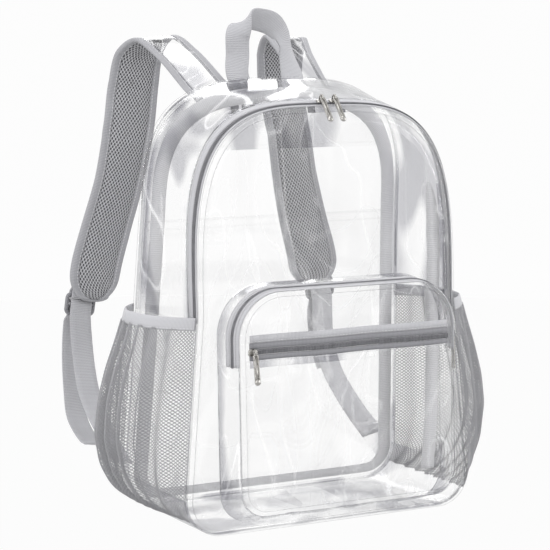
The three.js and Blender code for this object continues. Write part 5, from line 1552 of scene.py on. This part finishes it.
depth = add(tree, "ShaderNodeMapRange", {0: hole.outputs[0], 1: -0.2, 2: 0.55},
            interpolation_type="SMOOTHSTEP")
fibre = add(tree, "ShaderNodeTexNoise", {"Vector": coords.outputs["Object"],
                                         "Scale": 1 / 0.0009, "Detail": 2.0})
yarn = add(tree, "ShaderNodeMix", {0: fibre.outputs["Fac"], 6: linear("#8d8d90"),
                                   7: linear("#b0b0b3")}, data_type="RGBA")
# Painted shade: the holes take a near-black colour
colour = add(tree, "ShaderNodeMix", {0: depth.outputs[0], 6: yarn.outputs[2],
                                     7: linear("#3c3c3f")}, data_type="RGBA")
sunk = add(tree, "ShaderNodeMath", {0: 1.0, 1: depth.outputs[0]}, operation="SUBTRACT")
relief = add(tree, "ShaderNodeMath", {0: fibre.outputs["Fac"], 1: 0.2, 2: sunk.outputs[0]},
             operation="MULTIPLY_ADD")
bump = add(tree, "ShaderNodeBump", {"Height": relief.outputs[0], "Strength": 0.9,
                                    "Distance": 0.8 * MM})
surface = add(tree, "ShaderNodeBsdfPrincipled", {
    "Base Color": colour.outputs[2], "Roughness": 0.85, "Sheen Weight": 0.2,
    "Specular IOR Level": 0.2, "Normal": bump.outputs[0]})
add(tree, "ShaderNodeOutputMaterial", {"Surface": surface.outputs[0]})
# Edge tape: ribbed and folded round the pad
strap_tape = woven("polyester_edge_tape", "#9c9c9f", "#7c7c80", 1.6, 2.4, 0.25, 0.85, 0.35)

strap_root = back_y(BACK["top"] * STRAP_ROWS[0][2]) - PANEL_REAR + 2 * GAP + STRAP_EDGE_THIN / 2
strap_middles = [(BACK["base"] * row[0], strap_root + STRAP_REACH * row[1],
                  BACK["top"] * row[2]) for row in STRAP_ROWS]
strap_widths = [(math.sqrt(max(1 - row[4] ** 2 - row[5] ** 2, 0.1)), row[4], -row[5])
                for row in STRAP_ROWS]
strap_stations = ribbon_frames(strap_middles, strap_widths, 10)
spans = len(STRAP_ROWS) - 1
strap_end = strap_stations[-1]["middle"]
for station in strap_stations:
    place = station["share"] * spans
    low = min(int(place), spans - 1)
    for key, column in (("width", 3), ("padded", 6)):
        station[key] = mix(STRAP_ROWS[low][column], STRAP_ROWS[low + 1][column], place - low)
    left = min(float(np.linalg.norm(station["middle"] - strap_end)), STRAP_END_ROUND)
    arc = math.sqrt(max(1 - (1 - left / STRAP_END_ROUND) ** 2, 0))
    station["half"] = STRAP_WIDTH * station["width"] * arc / 2


def offset(f, w, n):
    return f["middle"] + f["across"] * w + f["out"] * n


def strap_cover_shape():
    rows = []
    for f in strap_stations:
        inside = f["half"] - STRAP_EDGE_WIDTH + 2
        if inside < 4:
            break
        crease = 0.7 * (1 - f["padded"]) * math.sin(42 * f["share"] + 1.2)
        rows.append([offset(f, inside * s, 0.75 + crease * (1 - s * s) + 0.5 * (1 - s * s))
                     for s in np.linspace(-1, 1, 9)])
    return grid(rows)


def strap_pad_shape():
    """Crowned pad: full in the middle, pinched to the binding along both sides."""
    rows = []
    for f in strap_stations:
        inside = f["half"] - STRAP_EDGE_WIDTH + 1.5
        if f["share"] < PAD_START or inside < 3:
            continue
        deep = max(STRAP_PAD * f["padded"], 0.6)
        ring = []
        for s in np.linspace(-1, 1, 15):
            ring.append(offset(f, inside * s, -0.6 - deep * (0.5 + 0.5 * (1 - abs(s) ** 3.2))))
        for s in np.linspace(1, -1, 9):
            ring.append(offset(f, inside * s, -0.25))
        rows.append(ring)
    return grid(rows, around=True, ends=True)


def edge_section(f, half, turn=None, reach=0.0):
    """Folded tape round the edge: an oval section from the strap's edge inwards."""
    low = -mix(STRAP_EDGE_THIN, STRAP_PAD + 1, f["padded"]) / 2 - f["padded"] * 1.5
    high = mix(STRAP_EDGE_THIN / 2, SHEET + 1.2, f["padded"])
    middle, rise = (low + high) / 2, (high - low) / 2
    ring = []
    for a in np.linspace(0, 2 * math.pi, 16, endpoint=False):
        c, s = math.cos(a), math.sin(a)
        w = math.copysign(abs(c) ** 0.75, c)
        n = math.copysign(abs(s) ** 0.62, s)
        depth_in = STRAP_EDGE_WIDTH / 2 * (1 - w)
        if turn is None:
            ring.append(offset(f, half - math.copysign(depth_in, half), middle + rise * n))
        else:
            radius = abs(half) - depth_in
            stretch = max(reach - depth_in, 2)
            ring.append(f["middle"] - f["across"] * radius * math.cos(turn)
                        + f["along"] * stretch * math.sin(turn)
                        + f["out"] * (middle + rise * n))
    return ring


def strap_binding_shape():
    wide = [f for f in strap_stations if f["half"] > STRAP_EDGE_WIDTH * 1.6]
    hub = wide[-1]
    reach = float(np.linalg.norm(hub["middle"] - strap_end))
    down = [edge_section(f, -f["half"]) for f in wide]
    round_end = [edge_section(hub, hub["half"], math.pi * k / END_STEPS, reach)
                 for k in range(1, END_STEPS)]
    up = [edge_section(f, f["half"]) for f in reversed(wide)]
    return grid([*down, *round_end, *up], around=True, ends=True)


def strap_edge_rows():
    """Stitch rows along the tape's inner edge, on both faces."""
    rows = []
    for sign in (-1, 1):
        for face in (-1, 1):
            row = []
            for f in strap_stations:
                if f["half"] < STRAP_EDGE_WIDTH * 1.8:
                    continue
                low = -mix(STRAP_EDGE_THIN, STRAP_PAD + 1, f["padded"]) / 2 - f["padded"] * 1.5
                high = mix(STRAP_EDGE_THIN / 2, SHEET + 1.2, f["padded"])
                n = (low - 0.02) if face < 0 else (high + 0.02)
                w = sign * (f["half"] - STRAP_EDGE_WIDTH + 2.6)
                row.append((offset(f, w, n), f["out"] * face))
            rows.append(row)
    return rows


def flip(points):
    return [(-p[0], p[1], p[2]) for p in points]


def sided(shape, side):
    points, faces, corners = shape
    return (points if side > 0 else flip(points)), faces, corners


def sided_rows(rows, side):
    return [[((side * p[0], p[1], p[2]), (side * w[0], w[1], w[2])) for p, w in row]
            for row in rows]


for side, name in ((1, "right"), (-1, "left")):
    make(f"strap_sheet_{name}", sided(strap_cover_shape(), side), fold_pvc,
         [f"strap_cover_{name}"], wall=SHEET * 0.9)
    pad = make(f"strap_mesh_pad_{name}", sided(strap_pad_shape(), side), spacer,
               [f"strap_pad_{name}"])
    make(f"strap_edge_tape_{name}", sided(strap_binding_shape(), side), strap_tape,
         [f"strap_binding_{name}"])
    sew(f"strap_stitches_{name}", sided_rows(strap_edge_rows(), side))


# Buckles. A moulded acetal ladder lock hangs on a sewn webbing loop at each strap's end; the
# lower webbing climbs from a clear tab on the back seam, folds over the buckle's bar and falls
# as a free tail.
BUCKLE_WIDTH = 36
BUCKLE_HEIGHT = 25
BUCKLE_BAR = 4.5
BUCKLE_THICK = 4
BUCKLE_DROP = 4
BUCKLE_LIFT = 7.5
BUCKLE_SIDE = 9
LOOP_LENGTH = 18
HOOK_ROWS = [(-13, -3.8), (-5, -3.3), (1.5, -3.1), (4.1, -1.9), (4.8, 0), (4.1, 1.9),
             (1.5, 3.1), (-5, 3.2), (-12, 3.6)]
WEBBING_ROWS = [(0.0, 0.0, 0.0, 1), (0.02, 0.3, 0.12, 0.8), (0.12, 0.6, 0.27, 0.45),
                (0.4, 0.78, 0.4, 0.2), (0.75, 0.92, 0.62, 0.05)]
WEBBING_FOOT_WIDTH = (0.67, 0.54, 0.51)
TAILS = {
    "right": [(1.0, 1.04, 0.8), (0.8, 0.995, 0.6), (0.6, 0.9, 0.44), (0.5, 0.86, 0.4)],
    "left": [(0.6, 1.12, 0.86), (0.25, 1.15, 0.64), (0.2, 1.12, 0.36), (0.2, 1.05, 0.17),
             (0.15, 0.76, 0.045), (0.1, 0.62, 0.035)],
}
ANCHOR_INSET = 10
ANCHOR_BEHIND = 20
ANCHOR_HEIGHT = 42

# Acetal: dense gray plastic with a satin gloss and the faint grain of its mould
acetal, tree = new_material("moulded_acetal")
coords = add(tree, "ShaderNodeTexCoord")
grain = add(tree, "ShaderNodeTexNoise", {"Vector": coords.outputs["Object"],
                                         "Scale": 1 / 0.0015, "Detail": 3.0})
tone = add(tree, "ShaderNodeMix", {0: grain.outputs["Fac"], 6: linear("#66666a"),
                                   7: linear("#7b7b7f")}, data_type="RGBA")
dull = add(tree, "ShaderNodeMapRange", {0: grain.outputs["Fac"], 3: 0.28, 4: 0.45})
fine = add(tree, "ShaderNodeBump", {"Height": grain.outputs["Fac"], "Strength": 0.2,
                                    "Distance": 0.1 * MM})
surface = add(tree, "ShaderNodeBsdfPrincipled", {
    "Base Color": tone.outputs[2], "Roughness": dull.outputs[0], "Normal": fine.outputs[0]})
add(tree, "ShaderNodeOutputMaterial", {"Surface": surface.outputs[0]})

tip = strap_stations[-1]
buckle_seat = (tip["middle"] + tip["out"] * BUCKLE_LIFT + tip["across"] * BUCKLE_SIDE
               + tip["along"] * BUCKLE_DROP)


def buckle_shape():
    """Rounded frame with three bars across it."""
    ring = [(x, y, 0) for x, y in rounded_outline(BUCKLE_WIDTH - BUCKLE_BAR,
                                                  BUCKLE_HEIGHT - BUCKLE_BAR, 4.5, 6)]
    outer = turned(rod(ring, BUCKLE_BAR / 2, closed=True, sides=12),
                   Matrix.Scale(BUCKLE_THICK / BUCKLE_BAR, 4, (0, 0, 1)))
    half = BUCKLE_WIDTH / 2 - BUCKLE_BAR * 0.6
    bar = turned(rod([(x, 0, 0) for x in np.linspace(-half, half, 9)], BUCKLE_BAR / 2, sides=12),
                 Matrix.Scale(BUCKLE_THICK / BUCKLE_BAR, 4, (0, 0, 1)))
    return joined([outer, bar])


def seated(shape, side):
    axes = along_axes(tip["across"], tip["along"], tip["out"], buckle_seat)
    return sided(turned(shape, axes), side)


def by_buckle(above, out_mm):
    return buckle_seat - tip["along"] * above + tip["out"] * out_mm


bar_top = BUCKLE_HEIGHT / 2
bar_foot = bar_top - BUCKLE_BAR
beside = BUCKLE_THICK / 2 + GAP + WEBBING / 2
under = -BUCKLE_LIFT + 1.2 + 1 + 2 * GAP + WEBBING / 2
over = under + WEBBING + GAP
sewn = bar_top + LOOP_LENGTH
turn_at = bar_foot - GAP - WEBBING / 2
LOOP_ROWS = [
    (sewn, under), (bar_top + 4, under), (bar_top - 1, -beside), (bar_foot + 0.8, -beside),
    (bar_foot - 0.5, -beside), (turn_at, -beside * 0.75), (turn_at, beside * 0.75),
    (bar_foot - 0.5, beside), (bar_foot + 0.8, beside), (bar_top + 1, beside + 0.3),
    (bar_top + 5, over + 1.6), (bar_top + 9, over), (sewn, over),
]
loop_frames = ribbon_frames([by_buckle(a, b) for a, b in LOOP_ROWS],
                            [tip["across"]] * len(LOOP_ROWS), 5)

foot = np.array([BACK["base"] - ANCHOR_INSET, back_y(ANCHOR_HEIGHT) + ANCHOR_BEHIND,
                 ANCHOR_HEIGHT])
foot_width = np.array(WEBBING_FOOT_WIDTH) / np.linalg.norm(WEBBING_FOOT_WIDTH)


def on_way(row):
    return np.array([mix(foot[k], buckle_seat[k], row[k]) for k in range(3)])


webbing_frames = {}
for name, tail in TAILS.items():
    middles = [on_way(row) for row in WEBBING_ROWS]
    widths = [mix(tip["across"], foot_width, row[3]) for row in WEBBING_ROWS]
    middles += [by_buckle(a, b) for a, b in HOOK_ROWS] + [on_way(row) for row in tail]
    widths += [tip["across"]] * (len(HOOK_ROWS) + len(tail))
    webbing_frames[name] = ribbon_frames(middles, widths, 8)

to_foot = on_way(WEBBING_ROWS[1]) - foot
to_foot = to_foot / np.linalg.norm(to_foot)
tab_width = foot_width - to_foot * foot_width.dot(to_foot)
tab_width = tab_width / np.linalg.norm(tab_width)
TAB_LOW, TAB_HIGH, TAB_INSET = 14, 62, 2.5
tab_rows = []
for k in range(13):
    part = k / 12
    row = []
    for s in np.linspace(0, 1, 7):
        z = mix(TAB_LOW, TAB_HIGH, s)
        root = np.array([side_at(BACK, z, TAB_INSET)[0], back_y(z) + 1.4, z])
        end = foot + to_foot * 16 * part + tab_width * (s - 0.5) * WEBBING_WIDTH
        row.append(root + (end - root) * part)
    tab_rows.append(row)

for side, name in ((1, "right"), (-1, "left")):
    make(f"ladder_lock_{name}", seated(buckle_shape(), side), acetal,
         [f"buckle_{name}"])
    make(f"strap_loop_webbing_{name}",
         sided(ribbon_shape(loop_frames, WEBBING_WIDTH, WEBBING), side), webbing_cloth,
         [f"strap_loop_{name}"])
    make(f"lower_strap_webbing_{name}",
         sided(ribbon_shape(webbing_frames[name], WEBBING_WIDTH, WEBBING), side), webbing_cloth,
         [f"lower_webbing_{name}"])
    make(f"clear_tab_{name}", sided(grid(tab_rows), side), fold_pvc,
         [f"anchor_tab_{name}"], wall=SHEET)
